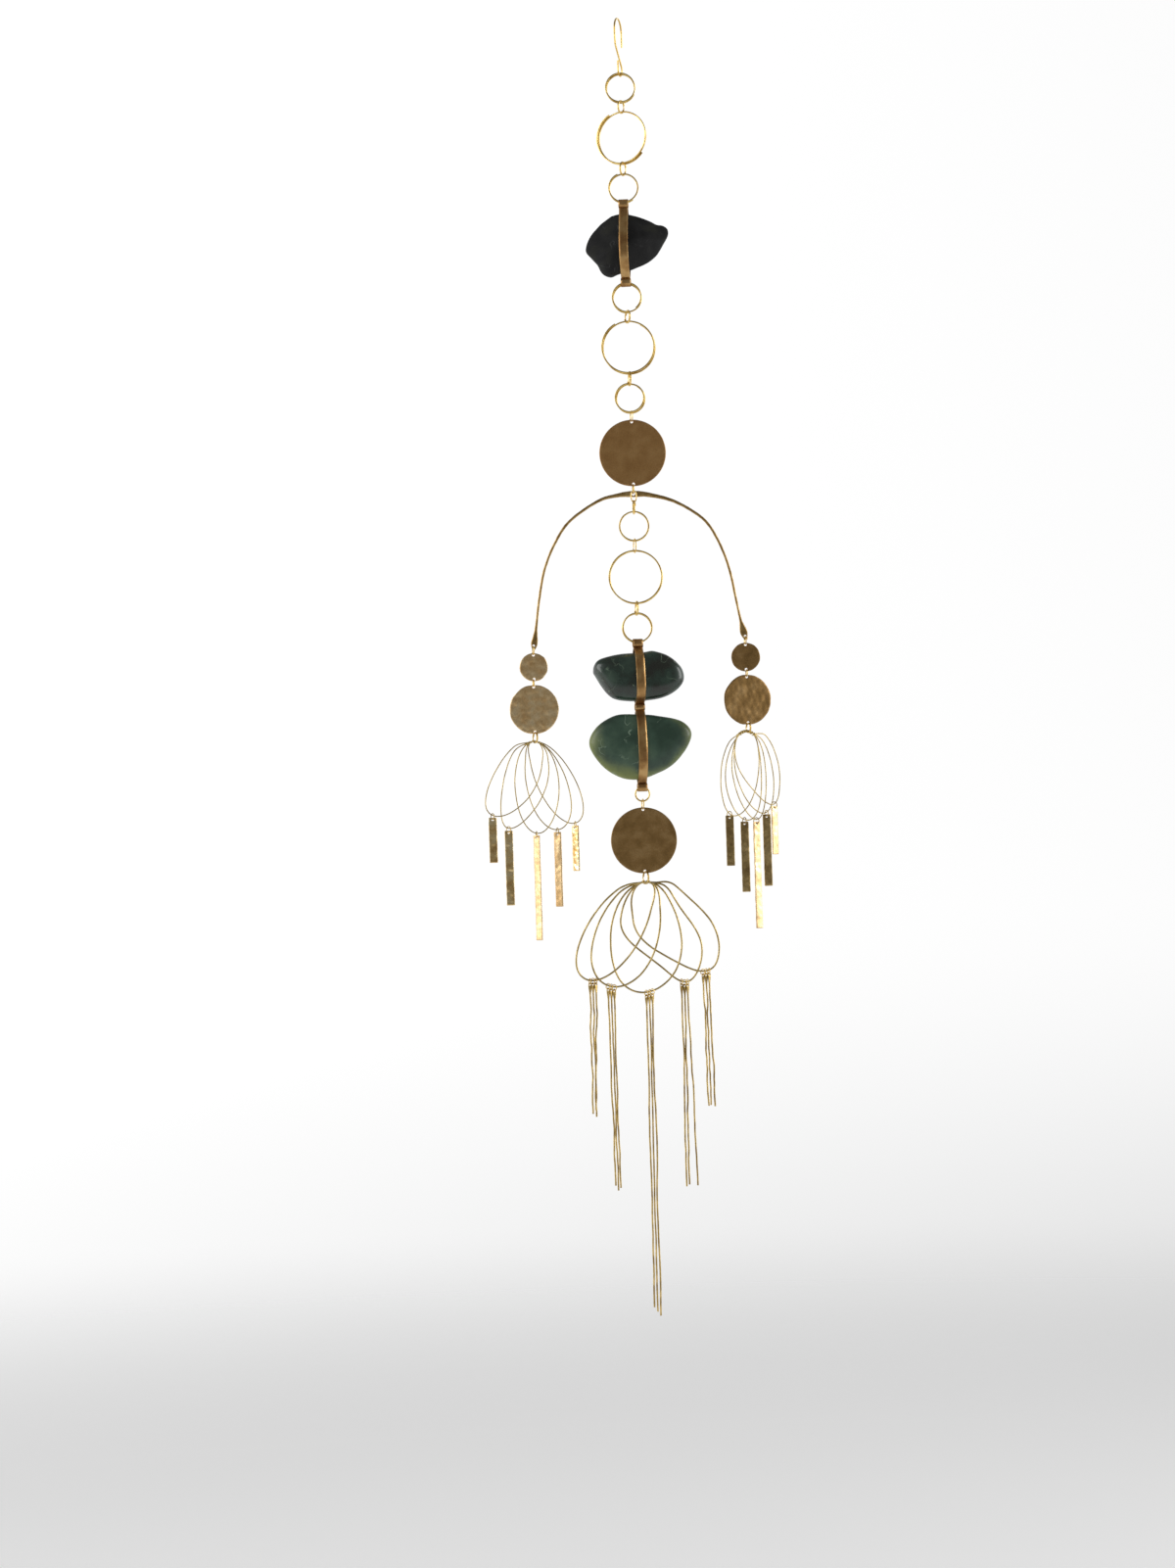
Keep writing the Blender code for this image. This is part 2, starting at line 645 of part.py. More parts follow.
def make_yoke_jump_ring():
    """It hangs in the oval link, a little to the front, and carries the ring below."""
    drop, outside = CHAIN["small_ring_5"][:2]
    x, y, z = YOKE_LINK["centre"]
    centre_y = y / 2
    top = z - YOKE_LINK["half_height"] + 2 * LINK_WIRE + GAP
    carried = -drop + outside / 2 - RING_WIRE
    room = LINK_WIRE + RING_WIRE + GAP
    reach, spread = top - carried, RING_SPREAD - centre_y
    radius = (reach**2 + spread**2 - room**2) / (2 * (reach - room))
    round_link("yoke_jump_ring", (x, centre_y, top - radius), radius, LINK_WIRE, "bright_brass")


def petal_point(lotus, index, t):
    """A point of a petal at parameter t, from -pi to pi with 0 at the top."""
    lean, length, width, full, sway, bow = lotus["petals"][index]
    along = length / 2 * (1 - cos(t))
    share = along / length
    across = width / 2 * sin(t) * (1 - full * cos(t)) + sway * sin(pi * share) + bow * sin(2 * pi * share)
    a = radians(lean)
    free = Vector((along * sin(a) + across * cos(a), -along * cos(a) + across * sin(a)))
    roof = Vector((across, -(across**2) / (2 * lotus["roof"])))
    place = roof.lerp(free, smooth_step(abs(t) / PETAL_BLEND))
    order = index - (len(lotus["petals"]) - 1) / 2
    depth = order * (lotus["pitch"] + (lotus["fan"] - lotus["pitch"]) * min(1, share * 1.2))
    x, y = turned(place.x, depth, lotus["turn"])
    return Vector((lotus["top"][0] + x, y, lotus["top"][1] + place.y))


def petal_load(lotus, index):
    """The parameter on a petal's lower side where its load hangs."""
    steps = [pi * (0.6 + 0.8 * step / 400) for step in range(401)]
    return min(steps, key=lambda t: abs(petal_point(lotus, index, t).x - lotus["loads"][index]))


def petal_path(lotus, index):
    """The petal's wire as straight pieces, shortest where the load hangs."""
    load = petal_load(lotus, index)
    offsets = [*PETAL_BREAKS, pi, *(-offset for offset in reversed(PETAL_BREAKS))]
    return [petal_point(lotus, index, (load + offset + pi) % (2 * pi) - pi) for offset in offsets]


def hanging_place(lotus, index, offset):
    """The point of the petal that is offset millimetres right of its load, and its slope there."""
    across = lotus["loads"][index] + offset
    path = petal_path(lotus, index)
    lowest = [*path[-3:], *path[:3]]
    for start, end in zip(lowest, lowest[1:]):
        if min(start.x, end.x) <= across <= max(start.x, end.x):
            slope = abs(end.z - start.z) / hypot(end.x - start.x, end.y - start.y)
            return start.lerp(end, (across - start.x) / (end.x - start.x)), slope
    raise ValueError(f"nothing hangs {across} mm across on petal {index + 1}")


def make_lotus(name, link, finish):
    """Five wire loops side by side, bound together at the top where the link holds them."""
    lotus = LOTUS[name]
    pieces = []
    reach = lotus["bundle"]
    depth = 2 * lotus["pitch"] + lotus["wire"]
    bundle = []
    for step in range(5):
        across = reach * (2 * step / 4 - 1)
        x, y = turned(across, 0, lotus["turn"])
        bundle.append((lotus["top"][0] + x, y, lotus["top"][1] - across**2 / (2 * lotus["roof"])))
    binding = wire(f"{name}_binding", bundle, 1.0, finish, sides=6)
    binding = as_mesh(binding, finish)
    flatten = lotus["wire"] + 0.5
    widen = depth + 0.4
    turn = Matrix.Rotation(radians(lotus["turn"]), 4, "Z")
    centre = Vector((lotus["top"][0] * MM, 0, 0))
    for vertex in binding.data.vertices:
        local = turn.inverted() @ (vertex.co - centre)
        roof = (lotus["top"][1] - (local.x / MM) ** 2 / (2 * lotus["roof"])) * MM
        local.y *= widen
        local.z = roof + (local.z - roof) * flatten
        vertex.co = turn @ local + centre
    pieces.append(binding)
    for index in range(len(lotus["petals"])):
        points = petal_path(lotus, index)
        pieces.append(wire(f"{name}_petal_{index + 1}", points, lotus["wire"], finish, closed=True))
    pieces.append(link)
    return fuse(name, pieces, finish)


def small_link_centre(lotus, index, offset):
    """The middle of a small link that hangs on a petal, clear of its wire on a slope too."""
    place, slope = hanging_place(lotus, index, offset)
    half_height = lotus["wire"] * hypot(1, slope) + SMALL_LINK_WIRE * slope
    return place - Vector((0, 0, SMALL_LINK - SMALL_LINK_WIRE - GAP - half_height))


def tapered_plate(name, top, length, width_top, width_bottom, thick, turn, finish):
    """A flat plate that hangs down from its top's middle."""
    bpy.ops.mesh.primitive_cube_add(size=1, location=(0, 0, 0))
    plate = bpy.context.active_object
    for group in list(plate.users_collection):
        group.objects.unlink(plate)
    MOBILE.objects.link(plate)
    plate.name = name
    for vertex in plate.data.vertices:
        upper = vertex.co.z > 0
        width = width_top if upper else width_bottom
        x, y = turned(vertex.co.x * width, vertex.co.y * thick, turn)
        height = 0.0 if upper else -length
        vertex.co = (Vector(top) + Vector((x, y, height))) * MM
    plate.data.materials.append(MATERIALS[finish])
    return plate


def make_strip(name, lotus, index, length, turn):
    """A flat strip on a small link, under the lowest point of its petal."""
    centre = small_link_centre(lotus, index, 0)
    link_turn = turn + (25 if turn <= 0 else -5)
    link = round_link(f"{name}_link", centre, SMALL_LINK, SMALL_LINK_WIRE, "strip_brass", link_turn, 8, 3)
    top = centre - Vector((0, 0, SMALL_LINK - STRIP_INSET))
    plate = tapered_plate(
        f"{name}_plate", top, length, STRIP_WIDTH, STRIP_WIDTH, STRIP_THICK, turn, "strip_brass"
    )
    fuse(name, [plate, link], "strip_brass")


def make_fringe_wire(name, lotus, group, order, end):
    """A long wire under a small paddle on its own small link."""
    centre = small_link_centre(lotus, group, (order - 1) * FRINGE_SPACING)
    link = round_link(
        f"{name}_link", centre, SMALL_LINK, SMALL_LINK_WIRE, "fringe_brass", FRINGE_LINK_TURN, 8, 3
    )
    top = centre - Vector((0, 0, SMALL_LINK - STRIP_INSET))
    paddle = tapered_plate(
        f"{name}_paddle", top, PADDLE_LENGTH, PADDLE_WIDTH, 1.2 * FRINGE_WIRE, PADDLE_THICK,
        FRINGE_TURN, "fringe_brass",
    )
    start = top.z - PADDLE_LENGTH * 0.7
    points = []
    for step in range(FRINGE_STEPS + 1):
        share = step / FRINGE_STEPS
        wave = sin(2 * pi * (1.5 * share + 0.21 * group + 0.33 * order)) * sin(pi * share)
        across = top.x + (end[0] - top.x) * share + FRINGE_SWAY * wave
        depth = top.y + (order - 1) * FRINGE_FAN * share
        points.append((across, depth, start + (end[1] - start) * share))
    strand = wire(f"{name}_strand", points, FRINGE_WIRE, "fringe_brass")
    fuse(name, [paddle, link, strand], "fringe_brass")


def make_chain():
    for name, (drop, outside, seam, turn) in CHAIN.items():
        make_split_ring(name, drop, outside, seam, turn)
    for name, (upper, lower, turn) in JUMP_RINGS.items():
        link_between(name, upper, lower, turn)
    angles = [2 * pi * step / 16 for step in range(16)]
    radius = OVAL_RING / 2 - RING_WIRE
    x = JADE_CRADLE["across"]
    points = [(x + radius * cos(a), 0, -OVAL_RING_DROP + radius * sin(a)) for a in angles]
    wire("oval_ring", points, RING_WIRE, "bright_brass", closed=True)


def make_stones():
    make_stone("black_stone", BLACK_STONE, "black_stone")
    make_stone("upper_jade", UPPER_JADE, "green_jade")
    make_stone("lower_jade", LOWER_JADE, "green_jade")
    make_cradle("black_stone_cradle", BLACK_CRADLE)
    make_cradle("jade_cradle", JADE_CRADLE)


def make_centre_discs():
    (centre, radius) = UPPER_DISC
    drop, outside = CHAIN["small_ring_4"][:2]
    ring_low = -drop - outside / 2 + RING_WIRE
    hole = upper_hole(centre, radius)
    link = link_on_wire(
        "upper_disc_link", CHAIN_ACROSS, ring_low, RING_SPREAD, RING_WIRE, hole, "aged_bronze"
    )
    make_disc("upper_disc", centre, radius, "aged_bronze", link, ARCH_LINK[0], sides=28)
    (centre, radius) = LOWER_DISC
    ring_low = -OVAL_RING_DROP - OVAL_RING / 2 + RING_WIRE
    hole = upper_hole(centre, radius)
    link = link_on_wire("lower_disc_link", CHAIN_ACROSS, ring_low, 0, RING_WIRE, hole, "dark_bronze")
    make_disc("lower_disc", centre, radius, "dark_bronze", link, CENTRE_LINK_ACROSS, sides=28)


def make_wing(side, discs, lotus_name, finish):
    """What hangs from one end of the arch: two discs, a lotus and its strips."""
    across, hole = ARCH_HOLES[side]
    for name, (centre, radius, turn) in discs.items():
        top = link_in_hole(hole, DISC_HOLE)
        link = link_spanning(f"{name}_link", across, top, upper_hole(centre, radius), finish)
        make_disc(name, centre, radius, finish, link, centre[0], turn)
        across, hole = centre[0], lower_hole(centre, radius)
    lotus = LOTUS[lotus_name]
    top, bottom = link_in_hole(hole, DISC_HOLE), lotus["top"][1] - 1.2
    link = link_spanning(f"{lotus_name}_link", across, top, bottom, "olive_wire")
    make_lotus(lotus_name, link, "olive_wire")
    for index, (length, turn) in enumerate(STRIPS[side]):
        make_strip(f"{side}_strip_{index + 1}", lotus, index, length, turn)


def make_centre_lotus():
    lotus = LOTUS["centre_lotus"]
    centre, radius = LOWER_DISC
    top = link_in_hole(lower_hole(centre, radius), DISC_HOLE)
    link = link_spanning("centre_link", CENTRE_LINK_ACROSS, top, lotus["top"][1] - 1.6, "olive_wire")
    make_lotus("centre_lotus", link, "olive_wire")
    for group, ends in enumerate(FRINGE):
        for order, end in enumerate(ends):
            number = 3 * group + order + 1
            make_fringe_wire(f"fringe_wire_{number:02d}", lotus, group, order, end)


clear_scene()
MOBILE = new_collection("hanging_mobile")
CUTTERS = new_collection("cutters")
MATERIALS = make_finishes()
make_hook()
make_chain()
make_stones()
make_centre_discs()
make_arch()
make_yoke_link()
make_yoke_jump_ring()
make_wing("left", LEFT_DISCS, "left_lotus", "pale_brass")
make_wing("right", RIGHT_DISCS, "right_lotus", "dark_bronze")
make_centre_lotus()
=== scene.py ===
# %% [markdown]
# # A hanging mobile of brass, bronze and river stones
#
# A maker hangs this mobile from one hook. A chain of split rings carries a black stone, a bronze
# disc and a hammered arch. The arch holds discs and small lotus forms with flat strips, and under
# its middle hang two green stones, a second disc and a large lotus with long fringe wires.
#
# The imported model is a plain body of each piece. This notebook keeps their places and dresses each
# one: wire is swept along its path, sheet is hammered, and stones are worn. Lengths are written in
# millimetres and MM turns them into Blender's metres.

from math import acos, atan2, cos, hypot, pi, radians, sin

import bmesh
import bpy
import numpy as np
from mathutils import Matrix, Vector, noise
from mathutils.bvhtree import BVHTree
from mathutils.geometry import delaunay_2d_cdt


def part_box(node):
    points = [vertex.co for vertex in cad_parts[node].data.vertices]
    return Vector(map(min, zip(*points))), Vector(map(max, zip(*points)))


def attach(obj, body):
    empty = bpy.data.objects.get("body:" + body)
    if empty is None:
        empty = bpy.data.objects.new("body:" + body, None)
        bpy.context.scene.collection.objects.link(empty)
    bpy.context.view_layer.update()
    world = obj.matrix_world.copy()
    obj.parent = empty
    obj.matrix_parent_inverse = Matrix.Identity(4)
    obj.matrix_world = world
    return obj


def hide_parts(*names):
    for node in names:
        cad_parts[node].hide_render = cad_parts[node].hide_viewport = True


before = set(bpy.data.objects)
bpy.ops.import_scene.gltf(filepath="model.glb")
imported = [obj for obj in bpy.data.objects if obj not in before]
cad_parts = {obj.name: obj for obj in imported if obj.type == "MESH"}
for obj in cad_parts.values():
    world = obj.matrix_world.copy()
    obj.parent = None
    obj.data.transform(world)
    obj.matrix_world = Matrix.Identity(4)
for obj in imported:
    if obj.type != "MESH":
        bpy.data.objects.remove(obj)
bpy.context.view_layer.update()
MM = 0.001


def node_box(node):
    """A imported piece's lowest and highest corners in millimetres."""
    low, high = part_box(node)
    return Vector(low) / MM, Vector(high) / MM


# %% [markdown]
# ## The camera
#
# The mobile hangs plumb, and the photographer held the camera a little turned, so the picture leans.
# The camera is turned by the same amount about the line it looks along. A long lens from three
# metres away keeps the rings round from top to bottom.

# %% Camera
LEAN = radians(1.8)
camera_data = bpy.data.cameras.new("camera")
camera_data.lens = 90.3
camera = bpy.data.objects.new("camera", camera_data)
right = Vector((cos(LEAN), 0, -sin(LEAN)))
up = Vector((sin(LEAN), 0, cos(LEAN)))
camera.matrix_world = Matrix.Translation((-0.0411, -3.0, -0.582)) @ Matrix(
    (right, up, right.cross(up))
).transposed().to_4x4()
bpy.context.scene.collection.objects.link(camera)
bpy.context.scene.camera = camera
print("camera leans", round(LEAN, 4), "radians")

# %% [markdown]
# ## Writing node trees as sums
#
# Materials and Geometry Nodes both need small sums. Sum wraps a socket so that Python's own
# operators add the Math nodes, and Tree has one method for every other node.


# %% Node helpers
class Sum:
    """A socket that Python's operators can work with."""

    def __init__(self, tree, socket):
        self.tree, self.socket = tree, socket

    def maths(self, operation, first, second):
        return self.tree.node("ShaderNodeMath", {"operation": operation}, {0: first, 1: second})

    def __add__(self, other):
        return self.maths("ADD", self, other)

    def __radd__(self, other):
        return self.maths("ADD", other, self)

    def __sub__(self, other):
        return self.maths("SUBTRACT", self, other)

    def __rsub__(self, other):
        return self.maths("SUBTRACT", other, self)

    def __mul__(self, other):
        return self.maths("MULTIPLY", self, other)

    def __rmul__(self, other):
        return self.maths("MULTIPLY", other, self)


class Tree:
    """A node tree with one method that adds any node."""

    def __init__(self, tree):
        self.tree = tree

    def node(self, kind, settings=None, inputs=None, output=0):
        made = self.tree.nodes.new(kind)
        for name, value in (settings or {}).items():
            if name == "stops":
                ramp = made.color_ramp
                for index, (place, colour) in enumerate(value):
                    stop = ramp.elements[index] if index < 2 else ramp.elements.new(place)
                    stop.position = place
                    stop.color = (*colour, 1.0)
            else:
                setattr(made, name, value)
        for name, value in (inputs or {}).items():
            if isinstance(value, Sum):
                self.tree.links.new(value.socket, made.inputs[name])
            else:
                made.inputs[name].default_value = value
        return Sum(self, made.outputs[output])


print("node helpers ready")

# %% [markdown]
# ## Metal finishes
#
# Each piece was hammered, heated and rubbed by hand, so no metal here has one colour. Soft patches
# carry the heat colours, fine specks carry the patina that stays in the surface's pits, and both
# also change how rough the metal is. All of it reads the piece's own coordinates in space, so a
# pattern never slides and has the same scale on every piece.


# %% Metals
def make_metal(name, tones, roughness, patch=9.0, speck=0.9, grain=0.3, relief=0.02):
    """A worked metal. patch, speck and relief are in millimetres, and tones run from dark to light.
    grain is the share that the fine specks have beside the soft patches."""
    material = bpy.data.materials.new(name)
    material.use_nodes = True
    tree = Tree(material.node_tree)
    shader = material.node_tree.nodes["Principled BSDF"]
    place = tree.node("ShaderNodeTexCoord", output="Object")
    patches = tree.node(
        "ShaderNodeTexNoise", {}, {"Vector": place, "Scale": 1 / (patch * MM), "Detail": 2.0, "Roughness": 0.5}
    )
    specks = tree.node(
        "ShaderNodeTexNoise", {}, {"Vector": place, "Scale": 1 / (speck * MM), "Detail": 3.0, "Roughness": 0.65}
    )
    mixed = patches * (1 - grain) + specks * grain
    low, middle, high = tones
    stops = [(0.36, low), (0.5, middle), (0.62, high)]
    colour = tree.node("ShaderNodeValToRGB", {"stops": stops}, {"Fac": mixed})
    bump = tree.node(
        "ShaderNodeBump", {}, {"Height": specks, "Distance": relief * MM, "Strength": 0.6}, output="Normal"
    )
    links = material.node_tree.links
    links.new(colour.socket, shader.inputs["Base Color"])
    rough = roughness + (0.5 - mixed) * 0.35
    links.new(rough.socket, shader.inputs["Roughness"])
    links.new(bump.socket, shader.inputs["Normal"])
    shader.inputs["Metallic"].default_value = 1.0
    return material


METALS = {
    "bright_brass": make_metal(
        "bright_brass", ((0.52, 0.33, 0.08), (0.80, 0.56, 0.17), (0.92, 0.70, 0.28)), 0.26, 9, 0.9, 0.15, 0.0
    ),
    "disc_bronze": make_metal(
        "disc_bronze", ((0.32, 0.17, 0.060), (0.42, 0.235, 0.088), (0.52, 0.31, 0.125)), 0.48, 12, 0.6, 0.45
    ),
    "dark_bronze": make_metal(
        "dark_bronze", ((0.22, 0.13, 0.045), (0.32, 0.19, 0.07), (0.44, 0.28, 0.12)), 0.46, 10, 0.6, 0.4
    ),
    # Brass made lighter for the left discs: a painted reflection of a bright source
    "pale_brass": make_metal(
        "pale_brass", ((0.62, 0.40, 0.18), (0.80, 0.57, 0.29), (0.93, 0.72, 0.42)), 0.34, 7, 0.9, 0.3
    ),
    "strap_copper": make_metal(
        "strap_copper", ((0.26, 0.135, 0.05), (0.40, 0.23, 0.088), (0.52, 0.33, 0.14)), 0.38, 11, 0.8, 0.2
    ),
    "arch_bronze": make_metal(
        "arch_bronze", ((0.28, 0.17, 0.055), (0.44, 0.28, 0.10), (0.58, 0.40, 0.17)), 0.36, 8, 0.8, 0.25
    ),
    "olive_wire": make_metal(
        "olive_wire", ((0.34, 0.24, 0.08), (0.50, 0.37, 0.14), (0.66, 0.50, 0.21)), 0.32, 9, 0.9, 0.15, 0.0
    ),
    # Lit copy of the strip sheet: its lighter colour is a painted reflection
    "strip_gold_painted_reflection": make_metal(
        "strip_gold_painted_reflection", ((0.60, 0.38, 0.14), (0.88, 0.65, 0.30), (0.97, 0.80, 0.48)), 0.20, 8, 0.9, 0.25
    ),
    "strip_tan": make_metal(
        "strip_tan", ((0.74, 0.50, 0.24), (0.86, 0.62, 0.33), (0.93, 0.71, 0.42)), 0.42, 9, 0.8, 0.3
    ),
    # Shaded copy of the strip sheet: its darker colour is painted shade
    "strip_brown_painted_shade": make_metal(
        "strip_brown_painted_shade", ((0.22, 0.14, 0.055), (0.36, 0.25, 0.10), (0.55, 0.40, 0.18)), 0.38, 8, 0.8, 0.35
    ),
    "fringe_wire": make_metal(
        "fringe_wire", ((0.32, 0.21, 0.07), (0.52, 0.37, 0.13), (0.72, 0.53, 0.21)), 0.32, 9, 0.9, 0.15, 0.0
    ),
}
print(len(METALS), "metals")

# %% [markdown]
# ## Stone finishes
#
# The black stone is matt, with fine pale scratches where it rolled over others. The green stones
# are polished and dark inside, and the lower one's edge is painted yellower: a painted glow for the
# light that comes through where the stone is thin. They have a few white veins. A vein is where a
# wandering noise crosses one value, so it is a thin line.


# %% Stones
def make_stone_finish(name, tones, roughness, shine, coat, vein, vein_width, rim=None):
    """A stone with mottled colour and thin veins. rim is a painted glow at the edge, for light that comes through the
    thin stone: a colour, a middle and two half sizes.
    """
    material = bpy.data.materials.new(name)
    material.use_nodes = True
    tree = Tree(material.node_tree)
    shader = material.node_tree.nodes["Principled BSDF"]
    place = tree.node("ShaderNodeTexCoord", output="Object")
    cloud = tree.node("ShaderNodeTexNoise", {}, {"Vector": place, "Scale": 60.0, "Detail": 5.0})
    colour = tree.node(
        "ShaderNodeValToRGB", {"stops": list(zip((0.35, 0.5, 0.66), tones))}, {"Fac": cloud}
    )
    mix_inputs = {"kind": "ShaderNodeMix", "settings": {"data_type": "RGBA"}, "output": 2}
    # Painted light: a yellow-green glow mixed in towards the stone's edge, outside an oval about its middle, for light
    # that comes through the thin stone
    if rim:
        painted_glow_colour, middle, half_wide, half_tall = rim
        centred = tree.node(
            "ShaderNodeMapping",
            {"vector_type": "TEXTURE"},
            {
                "Vector": place,
                "Location": Vector((middle[0], 0, middle[1])) * MM,
                "Scale": Vector((half_wide, 40, half_tall)) * MM,
            },
        )
        out = tree.node("ShaderNodeVectorMath", {"operation": "LENGTH"}, {0: centred}, output="Value")
        edge = tree.node(
            "ShaderNodeMapRange",
            {"interpolation_type": "SMOOTHSTEP"},
            {"Value": out + (cloud - 0.5) * 0.4, "From Min": 0.72, "From Max": 1.1},
        )
        colour = tree.node(
            mix_inputs["kind"], mix_inputs["settings"], {0: edge, 6: colour, 7: (*painted_glow_colour, 1)}, 2
        )
    lines = tree.node(
        "ShaderNodeTexNoise", {}, {"Vector": place, "Scale": 38.0, "Detail": 3.0, "Distortion": 0.6}
    )
    off_line = tree.node("ShaderNodeMath", {"operation": "ABSOLUTE"}, {0: lines - 0.5})
    mask = tree.node(
        "ShaderNodeMapRange", {}, {"Value": off_line, "From Min": vein_width, "From Max": 0.0}
    )
    broken = tree.node("ShaderNodeTexNoise", {}, {"Vector": place, "Scale": 90.0, "Detail": 2.0})
    strength = tree.node("ShaderNodeMapRange", {}, {"Value": broken, "From Min": 0.5, "From Max": 0.64})
    colour = tree.node(
        mix_inputs["kind"], mix_inputs["settings"], {0: mask * strength, 6: colour, 7: (*vein, 1)}, 2
    )
    grain = tree.node("ShaderNodeTexNoise", {}, {"Vector": place, "Scale": 900.0, "Detail": 3.0})
    rough = tree.node(
        "ShaderNodeMapRange",
        {},
        {"Value": cloud, "To Min": roughness - 0.08, "To Max": roughness + 0.1, "From Min": 0.3, "From Max": 0.7},
    )
    bump = tree.node(
        "ShaderNodeBump", {}, {"Height": grain + mask * 0.4, "Distance": 0.05 * MM, "Strength": 0.5}, output="Normal"
    )
    links = material.node_tree.links
    links.new(colour.socket, shader.inputs["Base Color"])
    links.new(rough.socket, shader.inputs["Roughness"])
    links.new(bump.socket, shader.inputs["Normal"])
    shader.inputs["Specular IOR Level"].default_value = shine
    shader.inputs["Coat Weight"].default_value = coat
    shader.inputs["Coat Roughness"].default_value = 0.12
    return material


STONE_FINISHES = {
    "black_stone": make_stone_finish(
        "black_stone", ((0.005, 0.005, 0.005), (0.010, 0.010, 0.010), (0.020, 0.020, 0.016)),
        0.62, 0.2, 0.0, (0.05, 0.05, 0.05), 0.010,
    ),
    "upper_jade": make_stone_finish(
        "upper_jade", ((0.012, 0.014, 0.009), (0.016, 0.032, 0.022), (0.035, 0.062, 0.042)),
        0.26, 0.4, 0.4, (0.16, 0.22, 0.15), 0.006,
    ),
    "lower_jade": make_stone_finish(
        "lower_jade", ((0.020, 0.045, 0.028), (0.034, 0.070, 0.045), (0.060, 0.105, 0.065)),
        0.42, 0.4, 0.2, (0.22, 0.30, 0.22), 0.006,
        # painted glow at the thin edge: its colour, middle and half sizes
        ((0.19, 0.22, 0.055), (0.2, -549.0), 39.5, 30.0),
    ),
}
print(len(STONE_FINISHES), "stone finishes")

# %% [markdown]
# ## Finished pieces
#
# A finished piece is a plain mesh at the origin with its place in its points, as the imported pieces
# are. It rides on the one body, takes a finish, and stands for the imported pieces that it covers.


# %% Piece helpers
def new_object(name, mesh, finish):
    obj = bpy.data.objects.new(name, mesh)
    bpy.context.scene.collection.objects.link(obj)
    mesh.materials.clear()
    mesh.materials.append(finish)
    return obj


def mesh_from(name, points, faces, finish, smooth=True):
    """A mesh object from points in millimetres, with its faces turned outwards."""
    mesh = bpy.data.meshes.new(name)
    mesh.from_pydata([tuple(Vector(p) * MM) for p in points], [], faces)
    shape = bmesh.new()
    shape.from_mesh(mesh)
    bmesh.ops.remove_doubles(shape, verts=shape.verts, dist=1e-6)
    bmesh.ops.recalc_face_normals(shape, faces=shape.faces)
    shape.to_mesh(mesh)
    shape.free()
    if smooth:
        mesh.shade_smooth()
    return new_object(name, mesh, finish)


def settle(piece, slot, *nodes):
    """The last step of every piece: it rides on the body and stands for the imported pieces."""
    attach(piece, "root")
    if nodes:
        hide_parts(*nodes)
    return piece


def keep_inside(piece, node):
    """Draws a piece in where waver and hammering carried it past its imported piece's box."""
    low, high = node_box(node)
    points = np.array([vertex.co for vertex in piece.data.vertices])
    start, end = points.min(axis=0), points.max(axis=0)
    new_start, new_end = np.maximum(start, np.array(low) * MM), np.minimum(end, np.array(high) * MM)
    points = new_start + (points - start) / (end - start) * (new_end - new_start)
    piece.data.vertices.foreach_set("co", points.ravel())
    piece.data.update()


def joined(name, pieces):
    """Puts the meshes of several pieces into one, keeping their finishes."""
    shape = bmesh.new()
    materials = []
    for piece in pieces:
        start = len(materials)
        materials += list(piece.data.materials)
        before = len(shape.faces)
        shape.from_mesh(piece.data)
        shape.faces.ensure_lookup_table()
        for face in shape.faces[before:]:
            face.material_index += start
    mesh = bpy.data.meshes.new(name)
    shape.to_mesh(mesh)
    shape.free()
    for material in materials:
        mesh.materials.append(material)
    for piece in pieces:
        bpy.data.objects.remove(piece, do_unlink=True)
    obj = bpy.data.objects.new(name, mesh)
    bpy.context.scene.collection.objects.link(obj)
    return obj


def turned(across, depth, turn):
    """X and Y after a turn in degrees about the vertical."""
    a = radians(turn)
    return across * cos(a) - depth * sin(a), across * sin(a) + depth * cos(a)


def smooth_path(points, pieces, closed=False):
    """A Catmull-Rom curve through rows of numbers, with that many pieces between two of them."""
    rows = np.array([tuple(p) for p in points], float)
    if closed:
        rows = np.vstack([rows[-1], rows, rows[:2]])
    else:
        rows = np.vstack([2 * rows[0] - rows[1], rows, 2 * rows[-1] - rows[-2]])
    path = []
    for before, start, end, after in zip(rows, rows[1:], rows[2:], rows[3:]):
        for t in np.arange(pieces) / pieces:
            path.append(
                0.5
                * (
                    2 * start
                    + (end - before) * t
                    + (2 * before - 5 * start + 4 * end - after) * t**2
                    + (3 * start - before - 3 * end + after) * t**3
                )
            )
    if not closed:
        path.append(rows[-2])
    return [tuple(p) for p in path]


print("piece helpers ready")

# %% [markdown]
# ## Wire
#
# Almost everything here is wire that a maker bent over a form and tapped flat. A Geometry Nodes
# tree takes a row of edges as the wire's middle line, lets it waver a little as handwork does, and
# sweeps a flattened round section along it. A noise makes the section swell and thin, which is what
# a hammer leaves. The tree is built once and used for every wire.


# %% The wire tree
def new_group(name, inputs):
    """An empty Geometry Nodes tree with its sockets. Returns the tree, its input and its output."""
    group = bpy.data.node_groups.new(name, "GeometryNodeTree")
    group.interface.new_socket("Geometry", in_out="INPUT", socket_type="NodeSocketGeometry")
    for label, kind in inputs:
        group.interface.new_socket(label, in_out="INPUT", socket_type=f"NodeSocket{kind}")
    group.interface.new_socket("Geometry", in_out="OUTPUT", socket_type="NodeSocketGeometry")
    tree = Tree(group)
    source = group.nodes.new("NodeGroupInput")
    sink = group.nodes.new("NodeGroupOutput")
    return tree, {s.name: Sum(tree, s) for s in source.outputs}, sink


def close_group(tree, geometry, finish, sink):
    """Every tree ends in real geometry with its finish."""
    real = tree.node("GeometryNodeRealizeInstances", {}, {"Geometry": geometry})
    done = tree.node("GeometryNodeSetMaterial", {}, {"Geometry": real, "Material": finish})
    tree.tree.links.new(done.socket, sink.inputs["Geometry"])


